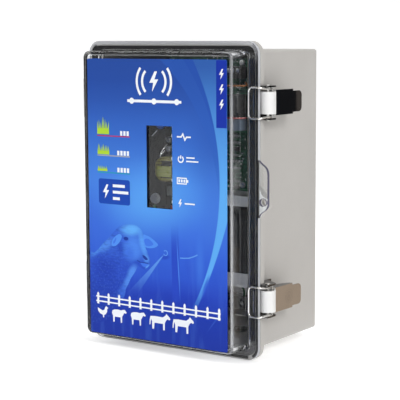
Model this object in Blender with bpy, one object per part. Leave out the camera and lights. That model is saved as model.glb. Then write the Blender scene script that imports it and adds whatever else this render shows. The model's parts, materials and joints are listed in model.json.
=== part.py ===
"""Fence energizer in a hinged wall box, built as separate pieces.

Lengths are in millimetres and become metres when a piece is made. While a piece is drawn, x runs to the
right, z up, and y back from the front plane of the door's flange. The finished frame has its origin at the
centre of the case's back face, where the box is fixed to a wall, with the door towards -Y.
"""

import math

import bmesh
import bpy
from mathutils import Matrix, Vector
from mathutils.geometry import interpolate_bezier

MM = 0.001
CORNER_STEPS = 5
ROUND = 20
SMALL_ROUND = 10
GAP = 0.3

# Case: half sizes are measured from the middle of the box.
CASE_DEPTH = 119.5
FLANGE_HALF = (94.0, 140.0)
FLANGE_CORNER = 12.0
WALL_HALF = (83.0, 133.1)
WALL_CORNER = 3.8
DRAFT = 1.4
INSIDE_HALF = (80.0, 130.0)
INSIDE_CORNER = 4.0
INSIDE_DRAFT = 1.2
INSIDE_BACK_Y = 116.3
RIM_FRONT_Y = 4.2
RIM_BACK_Y = 10.0

# Door: a clear flange with a raised front, and a shallow recess for the label.
DOOR_FLANGE_BACK_Y = 3.6
RAISED_HALF = (82.6, 131.1)
RAISED_CORNER = 6.0
FACE_Y = -22.0
FACE_EDGE_Y = -22.6
DOOR_WALL = 2.4
GASKET_OFFSET = 4.4
GASKET_WIDTH = 5.0
GASKET_FRONT_Y = 2.3
GASKET_BACK_Y = 3.9
RECESS_HALF = (79.5, 128.9)
RECESS_CENTRE = (0.0, -1.0)
LABEL_HALF = (77.2, 126.9)
LABEL_CENTRE = (-0.2, -2.6)
LABEL_CORNER = 1.5
LABEL_THICKNESS = 0.4
WINDOW_X = (-10.0, 18.6)
WINDOW_Z = (-8.0, 65.6)

# Hinges on the left side.
HINGE_X = -99.5
HINGE_Y = 3.9
HINGE_Z = (86.8, -86.8)
KNUCKLE_RADIUS = 4.0
PIN_RADIUS = 1.5
DOOR_KNUCKLE_HALF = 7.5
CASE_KNUCKLE_Z = (8.0, 18.0)

# Padlock ear on the door, and its lug on the case.
EAR_X = 103.5
EAR_Z = (-14.0, 38.0)
EAR_HOLE = (98.4, 1.2)
EAR_HOLE_RADIUS = 3.5
LUG_Y = (4.2, 8.4)

# Draw latches on the right side.
LATCH_Z = (86.8, -86.8)
LATCH_NAMES = ("upper", "lower")
BARREL_X = 96.6
BARREL_Y = 11.4
BARREL_RADIUS = 7.1
BARREL_HALF = 9.6
SHEET = 1.0
BAIL_X = 99.0
BAIL_Y = 15.2
WIRE_RADIUS = 0.9
LEVER_HALF = 11.0
LEVER_OUTER_X = 100.5
LEVER_END_Y = 46.5
TAB_END_Y = 59.0
TAB_HALF = 9.3
CHEEK_IN = 13.5
CHEEK_OUT = 14.7
LATCH_PIN_RADIUS = 1.4
NOTCH_X = 88.4
NOTCH_HALF = 15.8
RIVET_Y = 30.0
RIVET_Z = 7.0
KEEPER_X = (87.0, 89.6)
KEEPER_HALF = 9.3

# Inside.
PLATE_Y = (108.0, 109.5)
PLATE_SCREWS = ((-66.0, 112.0), (66.0, 112.0), (66.0, -112.0), (-66.0, -112.0))
CHASSIS_X = (-74.0, 74.0)
SHELF_Z = (-5.9, -4.4)
BATTERY_LOW = (-26.0, 17.0, -76.7)
BATTERY_HIGH = (75.0, 106.0, -6.7)
BOARD_Y = (12.0, 13.6)
BOARD_FRONT_Y = 11.7
BOARD_SCREWS = ((-3.5, -3.5), (-3.5, 121.0), (69.0, 121.0), (69.0, 14.0))
UPRIGHT_Y = (24.0, 25.5)
POT_X = (-70.0, -9.6)
POT_FRONT_Y = 6.0
STUD_POINTS = ((-60.0, -3.2), (-20.6, -3.2))
LAMP_X = 14.2
LAMP_Z = {"line": 56.6, "power": 36.4, "battery": 17.0, "energy": -2.3}
GROMMET_X = (-40.0, 0.0, 35.0)
GROMMET_Y = 60.0


# ---------------------------------------------------------------- shapes

def recalculated(shape):
    bmesh.ops.recalc_face_normals(shape, faces=shape.faces)
    return shape


def ring(half, radius, y, centre=(0.0, 0.0)):
    """A rounded rectangle in the XZ plane, as points."""
    points = []
    for quarter, (side_x, side_z) in enumerate(((1, 1), (-1, 1), (-1, -1), (1, -1))):
        for step in range(CORNER_STEPS + 1):
            angle = math.radians(90 * (quarter + step / CORNER_STEPS))
            x = centre[0] + side_x * (half[0] - radius) + radius * math.cos(angle)
            z = centre[1] + side_z * (half[1] - radius) + radius * math.sin(angle)
            points.append((x, y, z))
    return points


def grown(half, by):
    return (half[0] + by, half[1] + by)


def loft(rings, closed=False):
    """Skin over rings of equal length, with a cap on each end unless the rings close on themselves."""
    shape = bmesh.new()
    loops = [[shape.verts.new(point) for point in points] for points in rings]
    pairs = list(zip(loops, loops[1:]))
    if closed:
        pairs.append((loops[-1], loops[0]))
    for low, high in pairs:
        for here in range(len(low)):
            after = (here + 1) % len(low)
            shape.faces.new((low[here], low[after], high[after], high[here]))
    if not closed:
        shape.faces.new(loops[0])
        shape.faces.new(loops[-1])
    return recalculated(shape)


def prism(outline, low, high, along):
    """An outline in the other two axes, in X, Y, Z order, extruded along one axis."""
    axis = "xyz".index(along)
    rings = []
    for level in (low, high):
        points = []
        for first, second in outline:
            point = [first, second]
            point.insert(axis, level)
            points.append(point)
        rings.append(points)
    return loft(rings)


def block(low, high):
    outline = ((low[0], low[1]), (high[0], low[1]), (high[0], high[1]), (low[0], high[1]))
    return prism(outline, low[2], high[2], "z")


def turned(profile, centre, along, segments=ROUND, closed=False):
    """A profile of (radius, height) turned about an axis through the centre."""
    axis = "xyz".index(along)
    rings = []
    for radius, height in profile:
        points = []
        for step in range(segments):
            angle = 2 * math.pi * step / segments
            point = [radius * math.cos(angle), radius * math.sin(angle)]
            point.insert(axis, height)
            points.append([value + offset for value, offset in zip(point, centre)])
        rings.append(points)
    return loft(rings, closed)


def rod(radius, low, high, centre, along, segments=ROUND):
    return turned(((radius, low), (radius, high)), centre, along, segments)


def path_with_bends(corners, radius, steps=3):
    """A line through the corners, each corner rounded by an arc-like curve."""
    corners = [Vector(corner) for corner in corners]
    points = [corners[0]]
    for before, corner, after in zip(corners, corners[1:], corners[2:]):
        reach = min(radius, (before - corner).length * 0.45, (after - corner).length * 0.45)
        start = corner + (before - corner).normalized() * reach
        end = corner + (after - corner).normalized() * reach
        points += interpolate_bezier(start, start.lerp(corner, 0.6), end.lerp(corner, 0.6), end, steps + 1)
    points.append(corners[-1])
    return points


def tube(points, radius, fineness=2):
    """A round wire along the points, made by a bevelled curve."""
    curve = bpy.data.curves.new("wire", "CURVE")
    curve.dimensions = "3D"
    curve.bevel_depth = radius
    curve.bevel_resolution = fineness
    curve.use_fill_caps = True
    spline = curve.splines.new("POLY")
    spline.points.add(len(points) - 1)
    for target, point in zip(spline.points, points):
        target.co = (*point, 1.0)
    wire = bpy.data.objects.new("wire", curve)
    bpy.context.scene.collection.objects.link(wire)
    shape = evaluated(wire)
    bpy.data.objects.remove(wire)
    return shape


def evaluated(obj):
    """The object's mesh with its modifiers, as a new shape."""
    graph = bpy.context.evaluated_depsgraph_get()
    graph.update()
    shape = bmesh.new()
    shape.from_mesh(obj.evaluated_get(graph).to_mesh())
    bmesh.ops.remove_doubles(shape, verts=shape.verts, dist=0.0005)
    bmesh.ops.dissolve_degenerate(shape, dist=0.0005, edges=shape.edges)
    return shape


def helper(shape):
    mesh = bpy.data.meshes.new("helper")
    shape.to_mesh(mesh)
    shape.free()
    obj = bpy.data.objects.new("helper", mesh)
    bpy.context.scene.collection.objects.link(obj)
    return obj


def combined(shape, add=(), cut=()):
    """A shape with others joined to it and then cut from it."""
    body = helper(shape)
    others = []
    for operation, shapes in (("UNION", add), ("DIFFERENCE", cut)):
        for other in shapes:
            others.append(helper(other))
            boolean = body.modifiers.new(operation, "BOOLEAN")
            boolean.operation = operation
            boolean.object = others[-1]
    result = evaluated(body)
    for obj in others + [body]:
        bpy.data.objects.remove(obj)
    return result


# ---------------------------------------------------------------- objects

def finish(name, colour, roughness, metallic=0.0, alpha=1.0):
    material = bpy.data.materials.new(name)
    material.use_nodes = True
    shader = material.node_tree.nodes["Principled BSDF"]
    shader.inputs["Base Color"].default_value = (*colour, 1.0)
    shader.inputs["Roughness"].default_value = roughness
    shader.inputs["Metallic"].default_value = metallic
    shader.inputs["Alpha"].default_value = alpha
    return material


def in_frame(point):
    return Vector((point[0], point[1] - CASE_DEPTH, point[2])) * MM


def part(name, shape, material, pivot=(0.0, CASE_DEPTH, 0.0), parent=None):
    """Makes the named object, with its origin at the pivot."""
    origin = in_frame(pivot)
    for vertex in shape.verts:
        vertex.co = in_frame(vertex.co) - origin
    mesh = bpy.data.meshes.new(name)
    shape.to_mesh(mesh)
    shape.free()
    mesh.materials.append(material)
    mesh.shade_smooth()
    mesh.set_sharp_from_angle(angle=math.radians(35))
    obj = bpy.data.objects.new(name, mesh)
    obj.location = origin
    bpy.context.scene.collection.objects.link(obj)
    if parent:
        obj.parent = parent
        obj.matrix_parent_inverse = Matrix.Translation(parent.location).inverted()
    return obj


# ---------------------------------------------------------------- casing

def lug_outline(top, bottom, start_x, end_x):
    """A lug that swells out of a straight edge in an S curve, above and below a straight outer side."""
    swell = 9.0
    upper = interpolate_bezier((start_x, top, 0), (start_x + 3.0, top - swell * 0.6, 0),
                               (end_x, top - swell * 0.45, 0), (end_x, top - swell * 1.5, 0), 10)
    lower = interpolate_bezier((end_x, bottom + swell * 1.6, 0), (end_x, bottom + swell * 0.7, 0),
                               (start_x + 0.5, bottom + swell * 0.9, 0), (start_x, bottom, 0), 10)
    inner_x = start_x - 2.0
    return [(inner_x, top)] + [(p[0], p[1]) for p in upper + lower] + [(inner_x, bottom)]


def padlock_hole():
    return rod(EAR_HOLE_RADIUS, -4.0, 14.0, (EAR_HOLE[0], 0.0, EAR_HOLE[1]), "y")


def case_shape():
    back_half = grown(WALL_HALF, -DRAFT)
    shell = loft([
        ring(grown(INSIDE_HALF, -INSIDE_DRAFT), INSIDE_CORNER - 1.0, INSIDE_BACK_Y),
        ring(INSIDE_HALF, INSIDE_CORNER, RIM_FRONT_Y),
        ring(grown(FLANGE_HALF, -0.6), FLANGE_CORNER - 0.6, RIM_FRONT_Y),
        ring(FLANGE_HALF, FLANGE_CORNER, RIM_FRONT_Y + 0.6),
        ring(FLANGE_HALF, FLANGE_CORNER, RIM_BACK_Y - 0.5),
        ring(grown(FLANGE_HALF, -0.5), FLANGE_CORNER - 0.5, RIM_BACK_Y),
        ring(grown(WALL_HALF, 0.6), WALL_CORNER + 0.6, RIM_BACK_Y),
        ring(WALL_HALF, WALL_CORNER, RIM_BACK_Y + 0.8),
        ring(back_half, WALL_CORNER - 1.0, CASE_DEPTH - 1.7),
        ring(grown(back_half, -0.5), WALL_CORNER - 1.5, CASE_DEPTH - 0.5),
        ring(grown(back_half, -1.7), WALL_CORNER - 2.7, CASE_DEPTH),
    ])
    add = []
    cut = []
    for x, z in PLATE_SCREWS:
        add.append(rod(4.5, PLATE_Y[1] + GAP, INSIDE_BACK_Y + 1.0, (x, 0.0, z), "y", SMALL_ROUND))
        cut.append(rod(1.9, PLATE_Y[1] - 1.0, INSIDE_BACK_Y - 0.5, (x, 0.0, z), "y", SMALL_ROUND))
    for z in HINGE_Z:
        for low, high in (CASE_KNUCKLE_Z, (-CASE_KNUCKLE_Z[1], -CASE_KNUCKLE_Z[0])):
            add.append(rod(KNUCKLE_RADIUS, z + low, z + high, (HINGE_X, HINGE_Y, 0.0), "z"))
            add.append(block((HINGE_X, RIM_FRONT_Y + 0.2, z + low), (-92.5, HINGE_Y + KNUCKLE_RADIUS, z + high)))
        cut.append(rod(PIN_RADIUS + GAP, z - 25.0, z + 25.0, (HINGE_X, HINGE_Y, 0.0), "z"))
    lug = lug_outline(15.5, EAR_Z[0], FLANGE_HALF[0], EAR_X - 0.5)
    add.append(prism(lug, LUG_Y[0] + 0.05, LUG_Y[1], "y"))
    cut.append(padlock_hole())
    for z in LATCH_Z:
        cut.append(block((NOTCH_X, 2.0, z - NOTCH_HALF), (98.0, RIM_BACK_Y + 2.0, z + NOTCH_HALF)))
        for offset in (RIVET_Z, -RIVET_Z):
            cut.append(rod(1.9, 74.0, 88.0, (0.0, RIVET_Y, z + offset), "x", SMALL_ROUND))
    for x in GROMMET_X:
        cut.append(rod(8.0, -136.0, -126.0, (x, GROMMET_Y, 0.0), "z"))
    for x, z in ((-68.0, 118.0), (68.0, 118.0), (68.0, -118.0), (-68.0, -118.0)):
        cut.append(rod(4.0, CASE_DEPTH - 1.2, CASE_DEPTH + 1.0, (x, 0.0, z), "y", SMALL_ROUND))
    return combined(shell, add, cut)


def door_shape():
    groove_half = grown(FLANGE_HALF, GAP - GASKET_OFFSET)
    groove_inner = grown(FLANGE_HALF, -GASKET_OFFSET - GASKET_WIDTH - GAP)
    inner_half = (RAISED_HALF[0] - DOOR_WALL, RAISED_HALF[1] - DOOR_WALL)
    shell = loft([
        ring(RECESS_HALF, 3.2, FACE_Y, RECESS_CENTRE),
        ring(grown(RECESS_HALF, 0.15), 3.3, FACE_EDGE_Y, RECESS_CENTRE),
        ring(grown(RECESS_HALF, 0.9), 4.0, FACE_EDGE_Y, (0.0, -0.5)),
        ring(grown(RAISED_HALF, -0.5), 5.5, FACE_EDGE_Y + 0.5),
        ring(RAISED_HALF, RAISED_CORNER, FACE_EDGE_Y + 1.7),
        ring(grown(RAISED_HALF, 0.9), RAISED_CORNER + 0.9, -0.8),
        ring(grown(RAISED_HALF, 1.5), RAISED_CORNER + 1.5, 0.0),
        ring(grown(FLANGE_HALF, -0.5), FLANGE_CORNER - 0.5, 0.0),
        ring(FLANGE_HALF, FLANGE_CORNER, 0.5),
        ring(FLANGE_HALF, FLANGE_CORNER, DOOR_FLANGE_BACK_Y),
        ring(groove_half, FLANGE_CORNER - 4.1, DOOR_FLANGE_BACK_Y),
        ring(groove_half, FLANGE_CORNER - 4.1, GASKET_FRONT_Y - GAP),
        ring(groove_inner, 3.0, GASKET_FRONT_Y - GAP),
        ring(groove_inner, 3.0, DOOR_FLANGE_BACK_Y),
        ring(inner_half, 4.0, DOOR_FLANGE_BACK_Y),
        ring(grown(inner_half, -0.6), 3.6, -18.2),
        ring(grown(inner_half, -1.8), 2.6, -19.6),
    ])
    add = []
    cut = []
    ear = lug_outline(EAR_Z[1], EAR_Z[0], FLANGE_HALF[0], EAR_X)
    add.append(prism(ear, 0.05, DOOR_FLANGE_BACK_Y - 0.05, "y"))
    cut.append(padlock_hole())
    for z in HINGE_Z:
        add.append(rod(KNUCKLE_RADIUS, z - DOOR_KNUCKLE_HALF, z + DOOR_KNUCKLE_HALF, (HINGE_X, HINGE_Y, 0.0), "z"))
        add.append(block((HINGE_X, 0.05, z - DOOR_KNUCKLE_HALF), (-93.0, 3.4, z + DOOR_KNUCKLE_HALF)))
        cut.append(rod(PIN_RADIUS + GAP, z - 12.0, z + 12.0, (HINGE_X, HINGE_Y, 0.0), "z"))
    for z in LATCH_Z:
        add.append(block((KEEPER_X[0], -1.0, z - KEEPER_HALF), (KEEPER_X[1], 0.5, z + KEEPER_HALF)))
    return combined(shell, add, cut)


def gasket_shape():
    outer = grown(FLANGE_HALF, -GASKET_OFFSET)
    inner = grown(outer, -GASKET_WIDTH)
    return loft([
        ring(outer, FLANGE_CORNER - 4.4, GASKET_FRONT_Y),
        ring(outer, FLANGE_CORNER - 4.4, GASKET_BACK_Y - 0.5),
        ring(grown(outer, -0.8), FLANGE_CORNER - 5.2, GASKET_BACK_Y),
        ring(grown(inner, 0.8), 4.1, GASKET_BACK_Y),
        ring(inner, 3.3, GASKET_BACK_Y - 0.5),
        ring(inner, 3.3, GASKET_FRONT_Y),
    ], closed=True)


def label_shape():
    low, high = FACE_Y - GAP - LABEL_THICKNESS, FACE_Y - GAP
    sheet = loft([ring(LABEL_HALF, LABEL_CORNER, y, LABEL_CENTRE) for y in (low, high)])
    window = block((WINDOW_X[0], low - 1.0, WINDOW_Z[0]), (WINDOW_X[1], high + 1.0, WINDOW_Z[1]))
    return combined(sheet, cut=[window])


def hinge_pin_shape(z):
    half = CASE_KNUCKLE_Z[1] + GAP
    profile = ((PIN_RADIUS, -half - 1.2), (PIN_RADIUS, half), (2.7, half), (2.7, half + 0.8), (2.0, half + 1.3))
    return turned(profile, (HINGE_X, HINGE_Y, z), "z", SMALL_ROUND)


# ---------------------------------------------------------------- latches

def bracket_shape(z):
    """A base plate on the case wall with two cheeks that carry the lever's pin."""
    wall_x = WALL_HALF[0] + GAP
    plate = block((wall_x, RIM_BACK_Y + 1.4, z - CHEEK_OUT), (wall_x + 1.2, 36.0, z + CHEEK_OUT))
    cheek = [(wall_x, RIM_BACK_Y + 1.4), (NOTCH_X + 0.5, RIM_BACK_Y + 1.0), (NOTCH_X + 0.5, 5.2), (98.4, 5.2),
             (99.6, 5.9), (100.0, 7.4), (100.0, 18.6), (99.3, 20.6), (97.4, 22.0), (88.0, 28.0), (wall_x, 30.0)]
    cheeks = [prism(cheek, z + low, z + high, "z")
              for low, high in ((CHEEK_IN, CHEEK_OUT), (-CHEEK_OUT, -CHEEK_IN))]
    holes = [rod(LATCH_PIN_RADIUS + GAP, z - 20.0, z + 20.0, (BARREL_X, BARREL_Y, 0.0), "z", SMALL_ROUND)]
    for offset in (RIVET_Z, -RIVET_Z):
        holes.append(rod(1.9, 80.0, 88.0, (0.0, RIVET_Y, z + offset), "x", SMALL_ROUND))
    return combined(plate, cheeks, holes)


def lever_shape(z):
    """A rolled barrel that turns on the pin, a channel behind it, and a thumb tab."""
    centre = (BARREL_X, BARREL_Y, z)
    inner = BARREL_RADIUS - SHEET
    barrel = turned(((BARREL_RADIUS, -BARREL_HALF), (BARREL_RADIUS, BARREL_HALF), (inner, BARREL_HALF),
                     (inner, -BARREL_HALF)), centre, "z", 28, closed=True)
    ears = [rod(inner + 0.4, z + low, z + high, (BARREL_X, BARREL_Y, 0.0), "z", 28)
            for low, high in ((7.4, 8.4), (-8.4, -7.4))]
    inner_x = LEVER_OUTER_X - SHEET
    face = block((inner_x, 17.4, z - LEVER_HALF), (LEVER_OUTER_X, LEVER_END_Y, z + LEVER_HALF))
    side = [(LEVER_OUTER_X - 0.1, 18.0), (LEVER_OUTER_X - 0.1, LEVER_END_Y), (97.2, LEVER_END_Y),
            (94.0, 40.0), (90.5, 31.0), (88.2, 25.0), (88.0, 21.0), (89.0, 19.6), (92.0, 19.0)]
    sides = [prism(side, z + low, z + high, "z")
             for low, high in ((LEVER_HALF - SHEET, LEVER_HALF), (-LEVER_HALF, SHEET - LEVER_HALF))]
    tab_outline = [(LEVER_END_Y - 2.0, z - TAB_HALF), (LEVER_END_Y - 2.0, z + TAB_HALF)]
    for side_z, turn in ((1, 0), (-1, 1)):
        for step in range(6):
            angle = math.radians(90 * (turn + step / 5))
            tab_outline.append((TAB_END_Y - 4.0 + 4.0 * math.sin(angle),
                                z + side_z * (TAB_HALF - 4.0) + 4.0 * math.cos(angle)))
    tab = prism(tab_outline, inner_x, LEVER_OUTER_X, "x")
    for vertex in tab.verts:
        vertex.co.x += max(0.0, vertex.co.y - LEVER_END_Y) * 0.1
    holes = [rod(LATCH_PIN_RADIUS + GAP, z - 20.0, z + 20.0, (BARREL_X, BARREL_Y, 0.0), "z", SMALL_ROUND),
             rod(WIRE_RADIUS + GAP, z - 9.0, z + 9.0, (BAIL_X, BAIL_Y, 0.0), "z", SMALL_ROUND)]
    return combined(barrel, [*ears, face, *sides, tab], holes)


def bail_shape(z):
    """A wire loop from one end of the barrel, round the front of the door's flange, to the other end."""
    half = [(BAIL_X, BAIL_Y, 6.6), (BAIL_X, BAIL_Y, 12.2), (99.9, 12.0, 12.2), (99.8, 9.4, 12.2),
            (98.2, 4.4, 12.25), (96.6, -1.3, 13.3), (84.9, -1.25, 13.5)]
    other = [(x, y, -height) for x, y, height in reversed(half)]
    corners = [(x, y, z + height) for x, y, height in half + other]
    return tube(path_with_bends(corners, 2.4), WIRE_RADIUS)


def latch_pin_shape(z):
    profile = ((2.0, -15.7), (2.4, -15.4), (2.4, -15.0), (LATCH_PIN_RADIUS, -15.0),
               (LATCH_PIN_RADIUS, 15.0), (2.4, 15.0), (2.4, 15.4), (2.0, 15.7))
    return turned(profile, (BARREL_X, BARREL_Y, z), "z", SMALL_ROUND)


def rivet_shape(z):
    outer = WALL_HALF[0] + 1.2 + 2 * GAP
    profile = ((1.8, 77.9), (2.6, 78.3), (2.6, 79.2), (1.6, 79.2), (1.6, outer), (3.0, outer),
               (2.8, outer + 0.7), (1.6, outer + 1.2))
    return turned(profile, (0.0, RIVET_Y, z), "x", SMALL_ROUND)


# ---------------------------------------------------------------- inside

def screw_shape(x, z, seat_y, head_radius, head_height, shank_radius, length):
    """A pan-head screw that points back, its head in front of the seat."""
    profile = ((head_radius * 0.75, -head_height), (head_radius, -head_height * 0.55), (head_radius, 0.0),
               (shank_radius, 0.0), (shank_radius, length))
    return turned(profile, (x, seat_y, z), "y", SMALL_ROUND)


def plate_shape():
    plate = loft([ring((72.0, 120.0), 6.0, y) for y in PLATE_Y])
    holes = [rod(2.1, 100.0, 115.0, (x, 0.0, z), "y", SMALL_ROUND) for x, z in PLATE_SCREWS]
    return combined(plate, cut=holes)


def chassis_shape():
    """One folded sheet: a shelf with a front lip and a back flange, and an upright that carries the board."""
    back = PLATE_Y[0] - GAP
    shelf_low, shelf_high = SHELF_Z
    fold = [(15.4, shelf_low), (back, shelf_low), (back, 48.0), (back - 1.5, 48.0), (back - 1.5, shelf_high),
            (16.9, shelf_high), (16.9, 3.2), (15.4, 3.2)]
    sheet = prism(fold, *CHASSIS_X, "x")
    upright = block((-6.0, UPRIGHT_Y[0], shelf_low + 0.2), (CHASSIS_X[1], UPRIGHT_Y[1], 127.0))
    holes = [rod(1.9, 20.0, 30.0, (x, 0.0, z), "y", SMALL_ROUND) for x, z in BOARD_SCREWS if z > 5.0]
    return combined(sheet, [upright], holes)


def tray_shape():
    back = PLATE_Y[0] - GAP
    fold = [(14.4, -78.5), (back - 1.5, -78.5), (back - 1.5, -103.0), (back, -103.0), (back, -77.0),
            (15.9, -77.0), (15.9, -66.0), (14.4, -66.0)]
    return prism(fold, -30.0, 77.2, "x")


def battery_shape():
    low, high = BATTERY_LOW, BATTERY_HIGH
    half = ((high[0] - low[0]) / 2, (high[2] - low[2]) / 2)
    centre = ((high[0] + low[0]) / 2, (high[2] + low[2]) / 2)
    body = loft([
        ring(grown(half, -0.8), 1.0, low[1], centre),
        ring(half, 1.8, low[1] + 0.8, centre),
        ring(half, 1.8, high[1] - 0.8, centre),
        ring(grown(half, -0.8), 1.0, high[1], centre),
    ])
    posts = [block((low[0] - 6.0, y - 3.2, -26.0), (low[0] + 1.0, y + 3.2, -22.0)) for y in (30.0, 92.0)]
    return combined(body, posts)


def board_shape():
    outline = [(-8.5, -8.0), (40.0, -8.0), (40.0, 8.5), (74.0, 8.5), (74.0, 126.0), (-8.5, 126.0)]
    board = prism(outline, *BOARD_Y, "y")
    holes = [rod(1.9, 8.0, 18.0, (x, 0.0, z), "y", SMALL_ROUND) for x, z in BOARD_SCREWS]
    return combined(board, cut=holes)


def standoff_shape(x, z):
    """A hexagonal spacer; the lowest one stands on the shelf's lip, the others on the upright."""
    back = UPRIGHT_Y[0] if z > 5.0 else 15.4
    spacer = rod(3.2, BOARD_Y[1] + GAP, back - GAP, (x, 0.0, z), "y", 6)
    bore = rod(1.8, 0.0, back + 5.0, (x, 0.0, z), "y", SMALL_ROUND)
    return combined(spacer, cut=[bore])


def pulse_transformer_shape():
    """A potted block whose front slab reaches below the shelf's edge and takes the two output studs."""
    half = ((POT_X[1] - POT_X[0]) / 2, 43.0)
    centre = ((POT_X[1] + POT_X[0]) / 2, 27.0)
    slab = loft([
        ring(grown(half, -1.0), 2.0, POT_FRONT_Y, centre),
        ring(half, 3.0, POT_FRONT_Y + 1.0, centre),
        ring(half, 3.0, 15.1, centre),
    ])
    pot = block((POT_X[0] + 2.0, 15.0, SHELF_Z[1] + GAP), (POT_X[1] - 2.0, 58.0, 68.0))
    lip_room = block((POT_X[0] - 5.0, 15.09, -20.0), (POT_X[1] + 5.0, 17.3, 3.6))
    bores = [rod(2.5, 0.0, 14.0, (x, 0.0, z), "y", SMALL_ROUND) for x, z in STUD_POINTS]
    return combined(slab, [pot], [lip_room, *bores])


def stud_shape(x, z):
    """A hexagon-head screw with its washer, into the potted block."""
    head = rod(4.2, POT_FRONT_Y - 4.4, POT_FRONT_Y - 1.3, (x, 0.0, z), "y", 6)
    shank = turned(((5.0, POT_FRONT_Y - 1.4), (5.0, POT_FRONT_Y - GAP), (2.1, POT_FRONT_Y - GAP), (2.1, 13.0)),
                   (x, 0.0, z), "y")
    return combined(head, [shank])


def charge_core_shape():
    front = block((-6.2, -12.0, 19.2), (11.0, -8.8, 28.8))
    leg = block((-3.3, -9.0, 21.0), (7.3, 5.0, 27.0))
    return combined(front, [leg])


def charge_coil_shape():
    centre = (0.1, 25.7)
    coil = loft([
        ring((10.0, 10.1), 8.0, -8.5, centre),
        ring((11.0, 11.1), 9.0, -7.3, centre),
        ring((11.0, 11.1), 9.0, 4.4, centre),
        ring((10.0, 10.1), 8.0, 5.6, centre),
    ])
    foot = block((-7.8, 5.0, 16.0), (9.0, BOARD_FRONT_Y, 35.5))
    hole = block((-3.7, -10.0, 17.8), (7.7, 5.4, 33.6))
    return combined(coil, [foot], [hole])


def heat_sink_shape():
    """A back web with six fins that face the door."""
    outline = [(2.0, BOARD_FRONT_Y)]
    for fin in range(6):
        left = 2.0 + fin * 5.2
        outline += [(left, 7.5), (left, -8.0), (left + 1.6, -8.0), (left + 1.6, 7.5)]
    outline += [(29.6, BOARD_FRONT_Y)]
    return prism(outline, 92.0, 116.0, "z")


def lamp_shape(z):
    """An indicator lamp on a spacer tube, its dome just behind the window."""
    dome = [(2.5 * math.sin(math.radians(angle)), -13.0 - 2.5 * math.cos(math.radians(angle)))
            for angle in (20, 45, 70, 90)]
    profile = dome + [(2.5, -8.0), (2.9, -8.0), (2.9, -7.0), (2.6, -7.0), (2.6, BOARD_FRONT_Y)]
    return turned(profile, (LAMP_X, 0.0, z), "y", SMALL_ROUND)


def round_capacitor_shape(x, z):
    profile = ((2.2, 4.6), (2.7, 5.0), (2.7, 10.6), (2.4, 11.0), (2.7, 11.3), (2.7, BOARD_FRONT_Y))
    return turned(profile, (x, 0.0, z), "y", SMALL_ROUND)


def storage_capacitor_shape():
    profile = ((17.5, 2.0), (18.7, 3.2), (18.7, 64.0), (17.5, 65.2))
    return turned(profile, (0.0, 62.0, SHELF_Z[1] + GAP + 18.7), "x")


def grommet_shape(x):
    """A blind rubber bushing: its groove grips the bottom wall, its thin middle is pierced for a cable."""
    profile = ((4.6, -133.8), (5.6, -135.2), (9.6, -135.2), (10.5, -134.4), (10.5, -133.0), (7.7, -133.0),
               (7.7, -128.9), (9.8, -128.9), (9.8, -127.6), (5.6, -127.6), (4.6, -130.0))
    return turned(profile, (x, GROMMET_Y, 0.0), "z")


LEAD_ROUTES = {
    "battery_lead_red": (0.9, [(-32.4, 30.0, -24.0), (-38.0, 30.0, -24.0), (-41.0, 18.0, -24.0),
                               (-33.0, 9.0, -23.0), (-10.0, 8.0, -21.0), (-4.6, 8.0, -15.0), (-4.6, 8.0, -9.0)]),
    "battery_lead_black": (0.9, [(-32.4, 92.0, -24.0), (-42.0, 91.0, -24.0), (-46.0, 60.0, -26.0),
                                 (-44.0, 18.0, -28.0), (-33.0, 9.0, -27.0), (-6.0, 8.0, -25.0),
                                 (2.0, 8.0, -18.0), (2.0, 8.0, -9.0)]),
    "fence_lead": (1.6, [(-60.0, 3.6, -9.0), (-60.0, 3.6, -18.0), (-61.0, 14.0, -30.0), (-62.0, 50.0, -60.0),
                         (-60.0, 86.0, -86.0), (-40.0, 98.0, -92.0), (-16.0, 101.0, -93.0), (-16.0, 101.0, -105.7)]),
    "earth_lead": (1.3, [(-20.6, 3.9, -9.0), (-20.6, 3.9, -16.0), (-34.0, 6.0, -34.0), (-52.0, 30.0, -48.0),
                         (-54.0, 70.0, -74.0), (-44.0, 90.0, -86.0), (0.0, 99.0, -90.0), (14.0, 101.0, -98.0),
                         (14.0, 101.0, -105.7)]),
}


# ---------------------------------------------------------------- assembly

def build_casing(paint):
    part("rear_case", case_shape(), paint["case"])
    hinge = (HINGE_X, HINGE_Y, 0.0)
    door = part("front_door", door_shape(), paint["clear"], hinge)
    part("door_gasket", gasket_shape(), paint["black_rubber"], hinge, door)
    part("front_label", label_shape(), paint["label"], hinge, door)
    for side, z in zip(LATCH_NAMES, HINGE_Z):
        part(f"hinge_pin_{side}", hinge_pin_shape(z), paint["steel"])
    for number, x in enumerate(GROMMET_X, 1):
        part(f"cable_grommet_{number}", grommet_shape(x), paint["black_rubber"])


def build_latches(paint):
    for side, z in zip(LATCH_NAMES, LATCH_Z):
        part(f"latch_bracket_{side}", bracket_shape(z), paint["steel"])
        lever = part(f"latch_lever_{side}", lever_shape(z), paint["steel"], (BARREL_X, BARREL_Y, z))
        part(f"latch_bail_{side}", bail_shape(z), paint["steel"], (BAIL_X, BAIL_Y, z), lever)
        part(f"latch_pin_{side}", latch_pin_shape(z), paint["steel"])
        for number, offset in enumerate((RIVET_Z, -RIVET_Z), 1):
            part(f"latch_rivet_{side}_{number}", rivet_shape(z + offset), paint["steel"])


def build_frame(paint):
    part("mounting_plate", plate_shape(), paint["zinc"])
    for number, (x, z) in enumerate(PLATE_SCREWS, 1):
        part(f"plate_screw_{number}", screw_shape(x, z, PLATE_Y[0] - GAP, 3.6, 2.3, 1.6, 6.5), paint["zinc"])
    part("inner_chassis", chassis_shape(), paint["white_sheet"])
    part("battery_tray", tray_shape(), paint["white_sheet"])
    part("backup_battery", battery_shape(), paint["battery"])


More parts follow.
